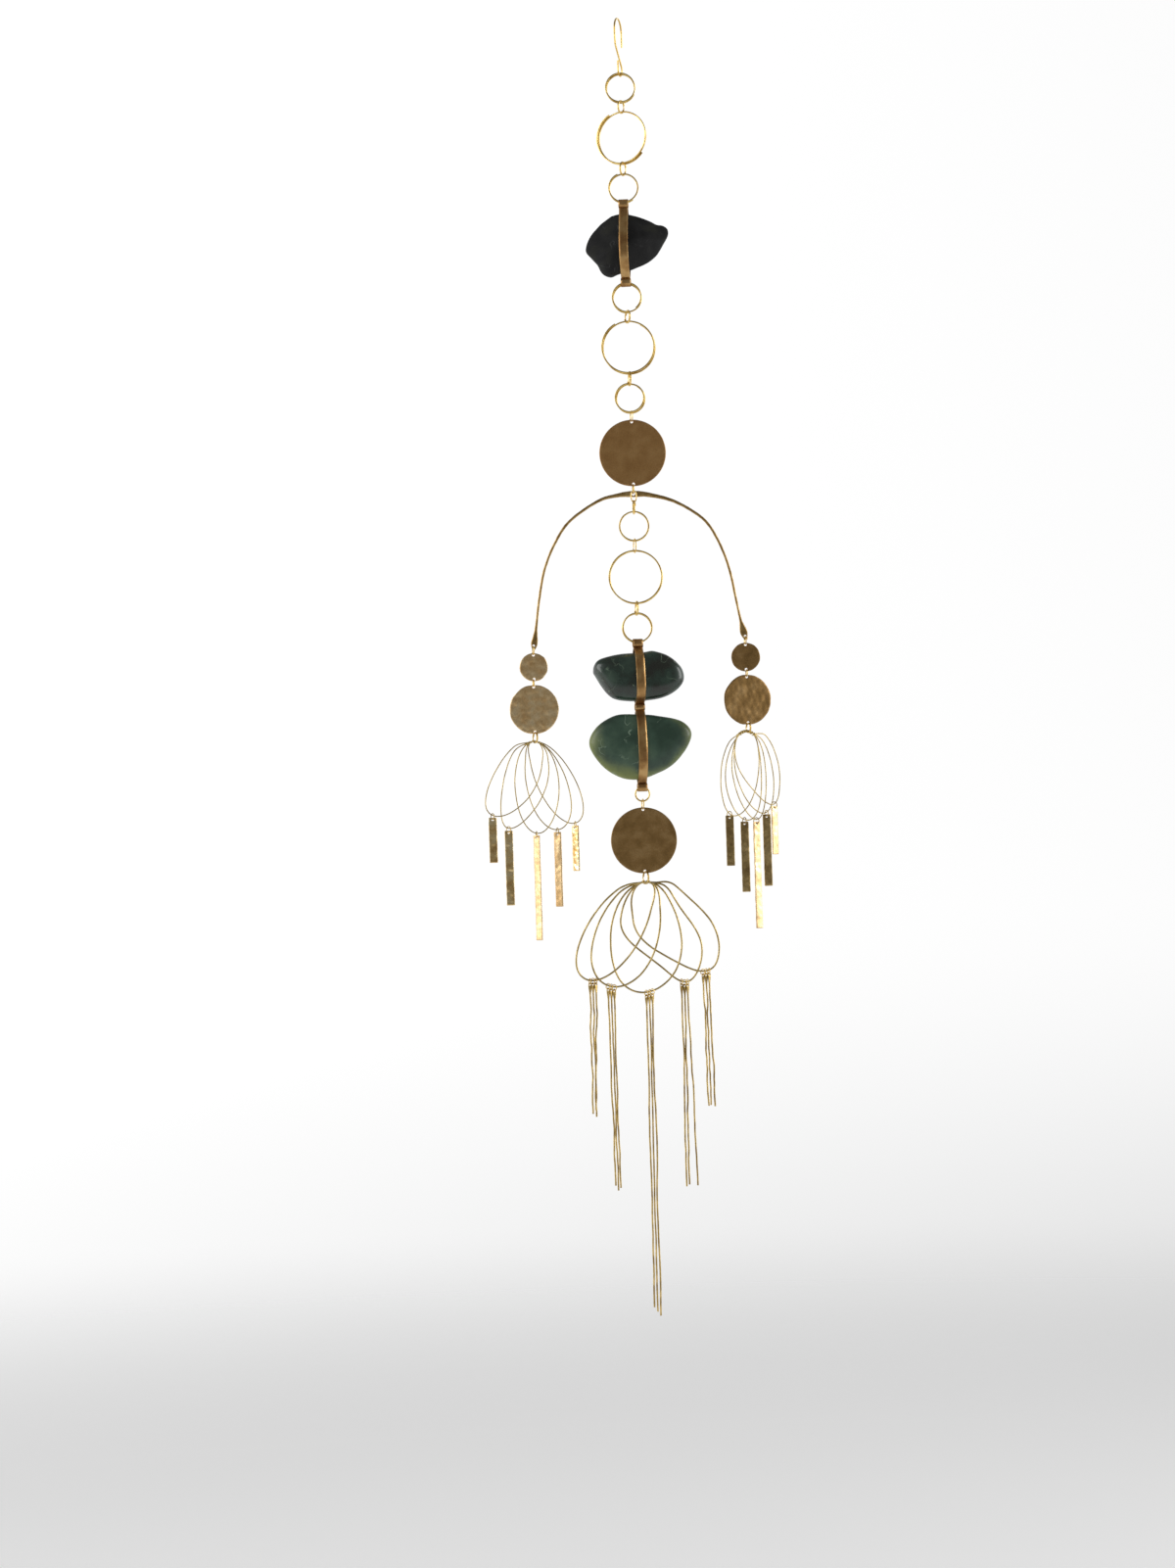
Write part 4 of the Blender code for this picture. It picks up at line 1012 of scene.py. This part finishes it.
def make_stone(name, stone):
    outline = smooth_path(stone["outline"], 9, closed=True)
    count, rings = len(outline), 40
    x, z = stone["middle"]
    points = []
    for ring in range(1, rings):
        latitude = -pi / 2 + pi * ring / rings
        share = cos(latitude) ** (2 / FULLNESS)
        depth = abs(sin(latitude)) ** (2 / FULLNESS) * stone["thick"] / 2 * (1 if latitude > 0 else -1)
        points += [Vector((px * share, depth, pz * share)) for px, pz in outline]
    points += [Vector((0, -stone["thick"] / 2, 0)), Vector((0, stone["thick"] / 2, 0))]
    for normal, reach in stone["flats"]:
        normal = Vector(normal).normalized()
        for place in points:
            past = place.dot(normal) - reach
            if past > -2:
                place -= normal * 0.8 * ((past + 2) ** 2 / 8 if past < 2 else past)
    worn = []
    for place in points:
        out = place.normalized()
        wear = noise.noise(place * 0.06 + Vector((stone["seed"], 0, 0))) + 0.4 * noise.noise(place * 0.16)
        worn.append(place + out * (wear - 0.5) * stone["rough"] + Vector((x, 0, z)))
    faces = []
    for ring in range(rings - 2):
        for k in range(count):
            after = (k + 1) % count
            faces.append((ring * count + k, ring * count + after, (ring + 1) * count + after, (ring + 1) * count + k))
    last = (rings - 2) * count
    for k in range(count):
        after = (k + 1) % count
        faces.append((after, k, len(points) - 2))
        faces.append((last + k, last + after, len(points) - 1))
    return mesh_from(f"{name}_pebble", worn, faces, STONE_FINISHES[stone["finish"]])


SURFACES = {}
for name, stone in STONES.items():
    pebble = make_stone(name, stone)
    SURFACES[name] = BVHTree.FromObject(pebble, bpy.context.evaluated_depsgraph_get())
    slot = "black_stone" if name == "black_stone" else "green_jade"
    settle(pebble, slot, name)
print(len(SURFACES), "stones")

# %% [markdown]
# ## Strap cradles
#
# A flat strap runs down the front of a stone and up its back, and is rolled into a barrel above and
# below, where it is soldered shut. The strap is pulled tight, so it touches only where the stone
# stands proud: rays find the stone's surface, and the strap takes the outer hull of what they find.

# %% Straps
STRAP_WIDTH, STRAP_THICK = 6.8, 0.8


def outer_hull(rows):
    """The points of a (height, depth) profile that a tight strap touches, from top to bottom."""
    hull = []
    for row in rows:
        while len(hull) > 1:
            (h1, d1), (h2, d2) = hull[-2], hull[-1]
            if (d2 - d1) * (row[0] - h2) * -1 <= (row[1] - d2) * (h2 - h1) * -1:
                hull.pop()
            else:
                break
        hull.append(row)
    return hull


def strap_profile(stone, across, turn, top, bottom, side):
    """How far in front of (side -1) or behind the middle the strap runs, at even heights."""
    way = Vector((*turned(0, side, turn), 0))
    rows = [(top, 1.0)]
    for height in np.linspace(top - 0.5, bottom + 0.5, 60):
        depths = []
        for share in (-0.5, -0.25, 0, 0.25, 0.5):
            x, y = turned(share * STRAP_WIDTH, 0, turn)
            start = Vector((across + x, y, height)) * MM + way * 0.06
            hit = SURFACES[stone].ray_cast(start, -way, 0.06)
            if hit[0] is not None:
                depths.append((hit[0] / MM - Vector((across + x, y, height))).dot(way))
        if depths:
            rows.append((height, max(depths) + 0.12))
    rows.append((bottom, 1.0))
    hull = outer_hull(rows)
    heights = np.linspace(top, bottom, 90)
    depths = np.interp(-heights, [-h for h, _ in hull], [d for _, d in hull])
    for _ in range(3):
        depths[1:-1] = (depths[:-2] + depths[1:-1] + depths[2:]) / 3
    return list(zip(heights, side * (depths + STRAP_THICK / 2)))


def make_ribbon(name, path, width, thick, across, turn, closed, seed, flare=0.0):
    """A flat strip along a path of (height, depth), hammered a little and eased at its edges."""
    count = len(path)
    section = [(-1, -0.5), (-0.97, -1), (-0.5, -1), (0, -1), (0.5, -1), (0.97, -1),
               (1, -0.5), (1, 0.5), (0.97, 1), (0.5, 1), (0, 1), (-0.5, 1), (-0.97, 1), (-1, 0.5)]
    points = []
    for k, (height, depth) in enumerate(path):
        before = path[(k - 1) % count] if closed else path[max(k - 1, 0)]
        after = path[(k + 1) % count] if closed else path[min(k + 1, count - 1)]
        along = Vector((after[0] - before[0], after[1] - before[1])).normalized()
        out = Vector((-along.y, along.x))
        edge = noise.noise(Vector((height * 0.2, depth * 0.2, seed))) * 0.1
        for wide, deep in section:
            tap = noise.noise(Vector((wide * 1.2, height * 0.35 + seed, depth * 0.35))) * 0.07
            lift = deep * thick / 2 + tap
            s = wide * (width / 2 + edge + flare * abs(2 * k / count - 1))
            x, y = turned(s, depth + out.y * lift, turn)
            points.append((across + x, y, height + out.x * lift))
    faces, sides = [], len(section)
    for k in range(count if closed else count - 1):
        after = (k + 1) % count
        for side in range(sides):
            near = (side + 1) % sides
            faces.append((k * sides + side, k * sides + near, after * sides + near, after * sides + side))
    if not closed:
        faces += [tuple(range(sides)), tuple(range((count - 1) * sides, count * sides))]
    return mesh_from(name, points, faces, METALS["strap_copper"])


# %% Cradles
CRADLES = {
    "black_stone_cradle": (0.2, -6.0, [(-140.6, 2.7), (-200.5, 2.7)], ["black_stone"]),
    "jade_cradle": (0.6, 8.0, [(-476.0, 2.7), (-524.6, 2.2), (-585.7, 2.6)], ["upper_jade", "lower_jade"]),
}
for node, (across, turn, barrels, stones) in CRADLES.items():
    parts = []
    for index, (height, hollow) in enumerate(barrels):
        loop = [(height + a, b) for a, b in arc((0, 0), hollow + STRAP_THICK / 2, 0, 360, 36)[:-1]]
        parts.append(
            make_ribbon(f"{node}_barrel_{index + 1}", loop, 7.4, STRAP_THICK, across, turn, True, index * 9.0)
        )
    for index, stone in enumerate(stones):
        top = barrels[index][0] - barrels[index][1] - STRAP_THICK * 0.6
        bottom = barrels[index + 1][0] + barrels[index + 1][1] + STRAP_THICK * 0.6
        for side in (-1, 1):
            path = strap_profile(stone, across, turn, top, bottom, side)
            parts.append(
                make_ribbon(
                    f"{node}_strap_{index + 1}{'f' if side < 0 else 'b'}", path, STRAP_WIDTH, STRAP_THICK,
                    across, turn, False, index * 5.0 + side,
                )
            )
    for part in parts[1:]:
        settle(part, "strap_bronze")
    settle(parts[0], "strap_bronze", node)
print(len(CRADLES), "cradles")

# %% [markdown]
# ## Lotus forms
#
# Five wire loops overlap like the petals of a lotus drawn with a compass. Each loop leans its own
# way from the bundle at the top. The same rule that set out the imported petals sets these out, with
# short steps: an egg shape, swung by its lean, that follows the bundle's roof for the first bit.

# %% Lotus rows
# For each petal: lean in degrees, length, width, fullness, sway and bow
LOTUS = {
    "left_lotus": {
        "top": (-80.8, -548.3), "wire": 0.42, "pitch": 0.9, "fan": 2.6, "turn": 0, "roof": 8.0, "bundle": 7.0,
        "petals": [
            (-32.2, 64.9, 32.6, -0.01, 2.2, 0), (-18.6, 69.2, 32.4, -0.20, 2.4, 0), (0.8, 70.2, 33.8, -0.04, 0.7, 0),
            (14.7, 69.9, 30.9, 0.13, 0, 0), (26.5, 70.1, 28.0, 0.11, -0.1, 0),
        ],
    },
    "right_lotus": {
        "top": (81.1, -545.5), "wire": 0.42, "pitch": 0.9, "fan": 2.6, "turn": 30, "roof": 8.0, "bundle": 7.0,
        "petals": [
            (-15.4, 66.4, 33.6, -0.05, -0.7, -0.4), (-2.2, 68.0, 32.4, 0.03, -3.6, 0),
            (6.2, 68.0, 29.7, -0.16, -1.8, 0), (14.8, 65.1, 32.8, -0.11, -0.5, 0), (25.6, 62.3, 34.0, -0.30, 0.8, -0.5),
        ],
    },
    "centre_lotus": {
        "top": (1.4, -658.1), "wire": 0.7, "pitch": 1.5, "fan": 3.5, "turn": 0, "roof": 14.0, "bundle": 3.5,
        "petals": [
            (-35.1, 87.3, 39.8, 0.07, 0.1, -0.2), (-22.4, 84.1, 47.1, 0.12, 0.6, -0.2),
            (-4.3, 84.4, 54.2, 0.10, 1.7, -0.8), (21.6, 82.5, 46.7, -0.23, -4.3, -4.6),
            (35.4, 83.1, 47.9, -0.14, -3.2, -2.8),
        ],
    },
}
PETAL_BLEND = 0.9


def smooth_step(value):
    value = max(0.0, min(1.0, value))
    return value * value * (3 - 2 * value)


def petal_point(lotus, index, t):
    """A point of a petal at parameter t, from -pi to pi with 0 at the top."""
    lean, length, width, full, sway, bow = lotus["petals"][index]
    along = length / 2 * (1 - cos(t))
    share = along / length
    across = width / 2 * sin(t) * (1 - full * cos(t)) + sway * sin(pi * share) + bow * sin(2 * pi * share)
    a = radians(lean)
    free = Vector((along * sin(a) + across * cos(a), -along * cos(a) + across * sin(a)))
    roof = Vector((across, -(across**2) / (2 * lotus["roof"])))
    place = roof.lerp(free, smooth_step(abs(t) / PETAL_BLEND))
    order = index - (len(lotus["petals"]) - 1) / 2
    depth = order * (lotus["pitch"] + (lotus["fan"] - lotus["pitch"]) * min(1, share * 1.2))
    x, y = turned(place.x, depth, lotus["turn"])
    return Vector((lotus["top"][0] + x, y, lotus["top"][1] + place.y))


# %% Petals and their bindings
def binding_path(lotus, turns):
    """A helix round the bundle, which follows the roof that the petals make."""
    half_depth, half_height = 2 * lotus["pitch"] + lotus["wire"] + 0.35, lotus["wire"] + 0.35
    reach, path = lotus["bundle"], []
    for k in range(turns * 20 + 1):
        share = k / (turns * 20)
        across = reach * (2 * share - 1)
        a = 2 * pi * turns * share
        slope = atan2(across, lotus["roof"])
        local = across - half_height * sin(a) * -sin(slope)
        height = -(across**2) / (2 * lotus["roof"]) + half_height * sin(a) * cos(slope)
        x, y = turned(local, half_depth * cos(a), lotus["turn"])
        path.append((lotus["top"][0] + x, y, lotus["top"][1] + height))
    return path


for number, (node, lotus) in enumerate(LOTUS.items()):
    petals = [
        [petal_point(lotus, index, -pi + 2 * pi * (k + 0.5) / 150) for k in range(150)]
        for index in range(len(lotus["petals"]))
    ]
    wires = make_wire(
        f"{node}_petals", petals, lotus["wire"], "olive_wire", sides=8, hammer=0.12, waver=0.5,
        seed=number, closed=True,
    )
    keep_inside(wires, node)
    settle(wires, "olive_wire", node)
    binding = make_wire(
        f"{node}_binding", [binding_path(lotus, 8 if lotus["bundle"] > 5 else 4)], 0.36, "olive_wire"
    )
    settle(binding, "olive_wire")
    top = node_box(node)[1].z
    low = lotus["top"][1] - lotus["wire"] - 0.7
    reach = (top - 0.48 - low) / 2
    across = {"left_lotus": -79.9, "right_lotus": 82.9, "centre_lotus": 1.1}[node]
    link = make_coils(
        f"{node}_jump_ring", [((across, 0, low + reach), reach, 25, 60)], 0.44, 1.9, 1.1, "bright_brass"
    )
    settle(link, "bright_brass")
print(len(LOTUS), "lotus forms")

# %% [markdown]
# ## Strips
#
# The flat strips were cut from thin sheet and hammered, and each turns its own way on its small
# ring, so some catch the light and some look dark. Their finishes paint this in as well: the gold
# strips are a lit copy of the sheet with a painted reflection, and the brown ones a shaded copy with
# painted shade.

# %% Strips
# The gold finishes carry a painted reflection and the brown ones painted shade
# For each strip: turn in degrees and finish
STRIPS = {
    "left_strip_1": (6, "strip_gold_painted_reflection"), "left_strip_2": (0, "strip_gold_painted_reflection"), "left_strip_3": (-38, "strip_tan"),
    "left_strip_4": (-26, "strip_tan"), "left_strip_5": (-34, "strip_gold_painted_reflection"),
    "right_strip_1": (0, "strip_brown_painted_shade"), "right_strip_2": (6, "strip_brown_painted_shade"), "right_strip_3": (34, "strip_tan"),
    "right_strip_4": (6, "strip_brown_painted_shade"), "right_strip_5": (38, "strip_tan"),
}
LINK_REACH, PLATE_DROP = 2.65, 3.5


def strip_outline(width, length, seed):
    """A cut strip, a little uneven along its edges, with eased corners."""
    half, ease = width / 2, 0.35
    corners = [(-half, -ease), (-half, -length + ease), (-half + ease, -length), (half - ease, -length),
               (half, -length + ease), (half, -ease), (half - ease, 0), (-half + ease, 0)]
    outline = []
    for (x1, z1), (x2, z2) in zip(corners, corners[1:] + corners[:1]):
        pieces = max(1, round(hypot(x2 - x1, z2 - z1) / 1.0))
        for k in range(pieces):
            x, z = x1 + (x2 - x1) * k / pieces, z1 + (z2 - z1) * k / pieces
            outline.append((x + 0.12 * noise.noise(Vector((z * 0.3, x, seed))), z))
    return outline


for number, (node, (turn, finish)) in enumerate(STRIPS.items()):
    low, high = node_box(node)
    x, y = (low.x + high.x) / 2, (low.y + high.y) / 2
    top, length = high.z - PLATE_DROP, high.z - PLATE_DROP - low.z
    strip = make_sheet(
        f"{node}_sheet", strip_outline(6.2, length, number), [circle((0, -1.7), 0.8, 12)], 0.7, finish,
        (x, y, top), turn, dent=0.4, dent_size=3.2, bend=0.9, seed=number + 30,
    )
    settle(strip, "strip_brass", node)
    ring = make_coils(
        f"{node}_ring", [((x, y, high.z - LINK_REACH), 2.25, turn + (50 if turn <= 0 else 30), 80)],
        0.36, 1.0, 0.3, "fringe_wire",
    )
    settle(ring, "strip_brass")
print(len(STRIPS), "strips")

# %% [markdown]
# ## Fringe wires
#
# Fifteen long wires were drawn and straightened by hand. The top of each is hammered into a small
# paddle with a hole, and the wire below it waves slightly all the way down.

# %% Fringe
FRINGE_TURN, PADDLE_LENGTH, PADDLE_WIDTH, WIRE_RADIUS = 30, 9.6, 2.7, 0.68


def paddle_outline():
    """A leaf shape: a rounded top, widest near the hole, that runs out into the wire."""
    right = []
    for k in range(15):
        share = k / 14
        width = PADDLE_WIDTH / 2 * min(1, (share * 7) ** 0.5) * (1 - smooth_step((share - 0.3) / 0.7) * 0.52)
        right.append((max(width, 0.35), -PADDLE_LENGTH * share))
    return [(-x, z) for x, z in right] + right[::-1]


def mean_point(node, lowest):
    """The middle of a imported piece's lowest or highest few points, in millimetres."""
    heights = [v.co.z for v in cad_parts[node].data.vertices]
    edge = min(heights) if lowest else max(heights)
    near = [v.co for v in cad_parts[node].data.vertices if abs(v.co.z - edge) < 0.5 * MM]
    return sum(near, Vector()) / len(near) / MM


for number in range(15):
    node = f"fringe_wire_{number + 1:02d}"
    group, order = divmod(number, 3)
    head, tip = mean_point(node, False), mean_point(node, True) + Vector((0, 0, 0.02))
    ring_middle = Vector((head.x, head.y, node_box(node)[1].z - LINK_REACH))
    top = ring_middle + Vector((0, 0, LINK_REACH - PLATE_DROP))
    paddle = make_sheet(
        f"{node}_paddle", paddle_outline(), [circle((0, -1.7), 0.72, 12)], 0.75, "fringe_wire", tuple(top),
        FRINGE_TURN + (number * 7 % 5 - 2) * 4, pitch=0.6, dent=0.12, dent_size=2.0, seed=number,
    )
    start = top - Vector((0, 0, PADDLE_LENGTH - 0.6))
    line = []
    for k in range(90):
        share = k / 89
        wave = noise.noise(Vector((share * 5, number * 3.7, 0))) * 1.0 + noise.noise(
            Vector((share * 14, number * 3.7, 5))
        ) * 0.35
        place = start.lerp(tip, share)
        fade = min(1, share * 6) * min(1, (1 - share) * 6 + 0.1)
        deep = noise.noise(Vector((share * 5, number * 3.7, 9)))
        line.append(place + Vector((wave, deep * 0.6, 0)) * fade)
    strand = make_wire(f"{node}_strand", [line], WIRE_RADIUS, "fringe_wire", sides=8, seed=number)
    ring = make_coils(
        f"{node}_ring", [(tuple(ring_middle), 2.2, 35 + (number * 11 % 7 - 3) * 6, 80)], 0.36, 1.0, 0.3, "bright_brass"
    )
    settle(paddle, "fringe_brass")
    settle(ring, "fringe_brass")
    settle(strand, "fringe_brass", node)
print("15 fringe wires")

# %% [markdown]
# ## Studio
#
# A pale floor far below, light from large soft boxes, and a bright room behind the mobile with a
# darker one behind the camera. Face-on metal mirrors the dark side and reads brown, and metal that
# is turned a little catches a soft box and reads gold.


# %% Floor
def make_floor():
    material = bpy.data.materials.new("studio_floor")
    material.use_nodes = True
    tree = Tree(material.node_tree)
    shader = material.node_tree.nodes["Principled BSDF"]
    shader.inputs["Base Color"].default_value = (0.84, 0.84, 0.84, 1)
    shader.inputs["Emission Color"].default_value = (1, 1, 1, 1)
    shader.inputs["Emission Strength"].default_value = 0.2
    shader.inputs["Roughness"].default_value = 0.9
    place = tree.node("ShaderNodeTexCoord", output="Object")
    out = tree.node("ShaderNodeVectorMath", {"operation": "LENGTH"}, {0: place}, output="Value")
    clear = tree.node(
        "ShaderNodeMapRange", {"interpolation_type": "SMOOTHSTEP"},
        {"Value": out, "From Min": 1.2, "From Max": 3.6, "To Min": 1.0, "To Max": 0.0},
    )
    material.node_tree.links.new(clear.socket, shader.inputs["Alpha"])
    points = [(3700 * cos(2 * pi * k / 64), 3700 * sin(2 * pi * k / 64), 0) for k in range(64)]
    floor = mesh_from("floor", points, [tuple(range(64))], material)
    floor.location.z = -1.32
    return floor


make_floor()


# %% Light
def make_soft_box(name, place, size, power, target=(0, 0, -0.5)):
    data = bpy.data.lights.new(name, "AREA")
    data.shape = "RECTANGLE"
    data.size, data.size_y, data.energy = size[0], size[1], power
    box = bpy.data.objects.new(name, data)
    place = Vector(place)
    box.matrix_world = Matrix.Translation(place) @ (Vector(target) - place).to_track_quat("-Z", "Y").to_matrix().to_4x4()
    bpy.context.scene.collection.objects.link(box)
    return box


make_soft_box("soft_box_left", (-2.4, -0.8, 0.3), (1.4, 1.8), 26)
make_soft_box("soft_box_right", (2.4, -0.4, 0.1), (1.2, 1.8), 26)


def make_room():
    """Light from all round: bright behind and at both sides, dim above, below and in front. What
    the camera sees directly is a white backdrop with painted shade, darker towards the floor and the
    right, which lights nothing."""
    world = bpy.data.worlds.new("room")
    world.use_nodes = True
    bpy.context.scene.world = world
    tree = Tree(world.node_tree)
    shader = world.node_tree.nodes["Background"]
    way = tree.node("ShaderNodeTexCoord", output="Generated")
    parts = {axis: tree.node("ShaderNodeSeparateXYZ", {}, {"Vector": way}, output=axis) for axis in "XYZ"}

    def ease(value, start, end, low, high):
        return tree.node(
            "ShaderNodeMapRange", {"interpolation_type": "SMOOTHSTEP"},
            {"Value": value, "From Min": start, "From Max": end, "To Min": low, "To Max": high},
        )

    tall = tree.node("ShaderNodeMath", {"operation": "ABSOLUTE"}, {0: parts["Z"]})
    glow = ease(parts["Y"], -0.85, -0.30, 0.0, 1.0) * ease(tall, 0.25, 0.75, 1.0, 0.0)
    room = glow * 0.95 + 0.22
    # Painted shade on the backdrop that only the camera sees: darker towards the floor and to the right
    low = ease(parts["Z"], -0.03, -0.20, 0.0, 1.0)
    backdrop_with_painted_shade = 1.015 - low * 0.27 - parts["X"] * (low + 0.35) * 0.7
    seen = tree.node("ShaderNodeLightPath", output="Is Camera Ray")
    strength = room * (1 - seen) + backdrop_with_painted_shade * seen
    world.node_tree.links.new(strength.socket, shader.inputs["Strength"])
    shader.inputs["Color"].default_value = (1, 1, 1, 1)


make_room()
bpy.context.scene.view_settings.view_transform = "Standard"
print("studio ready")
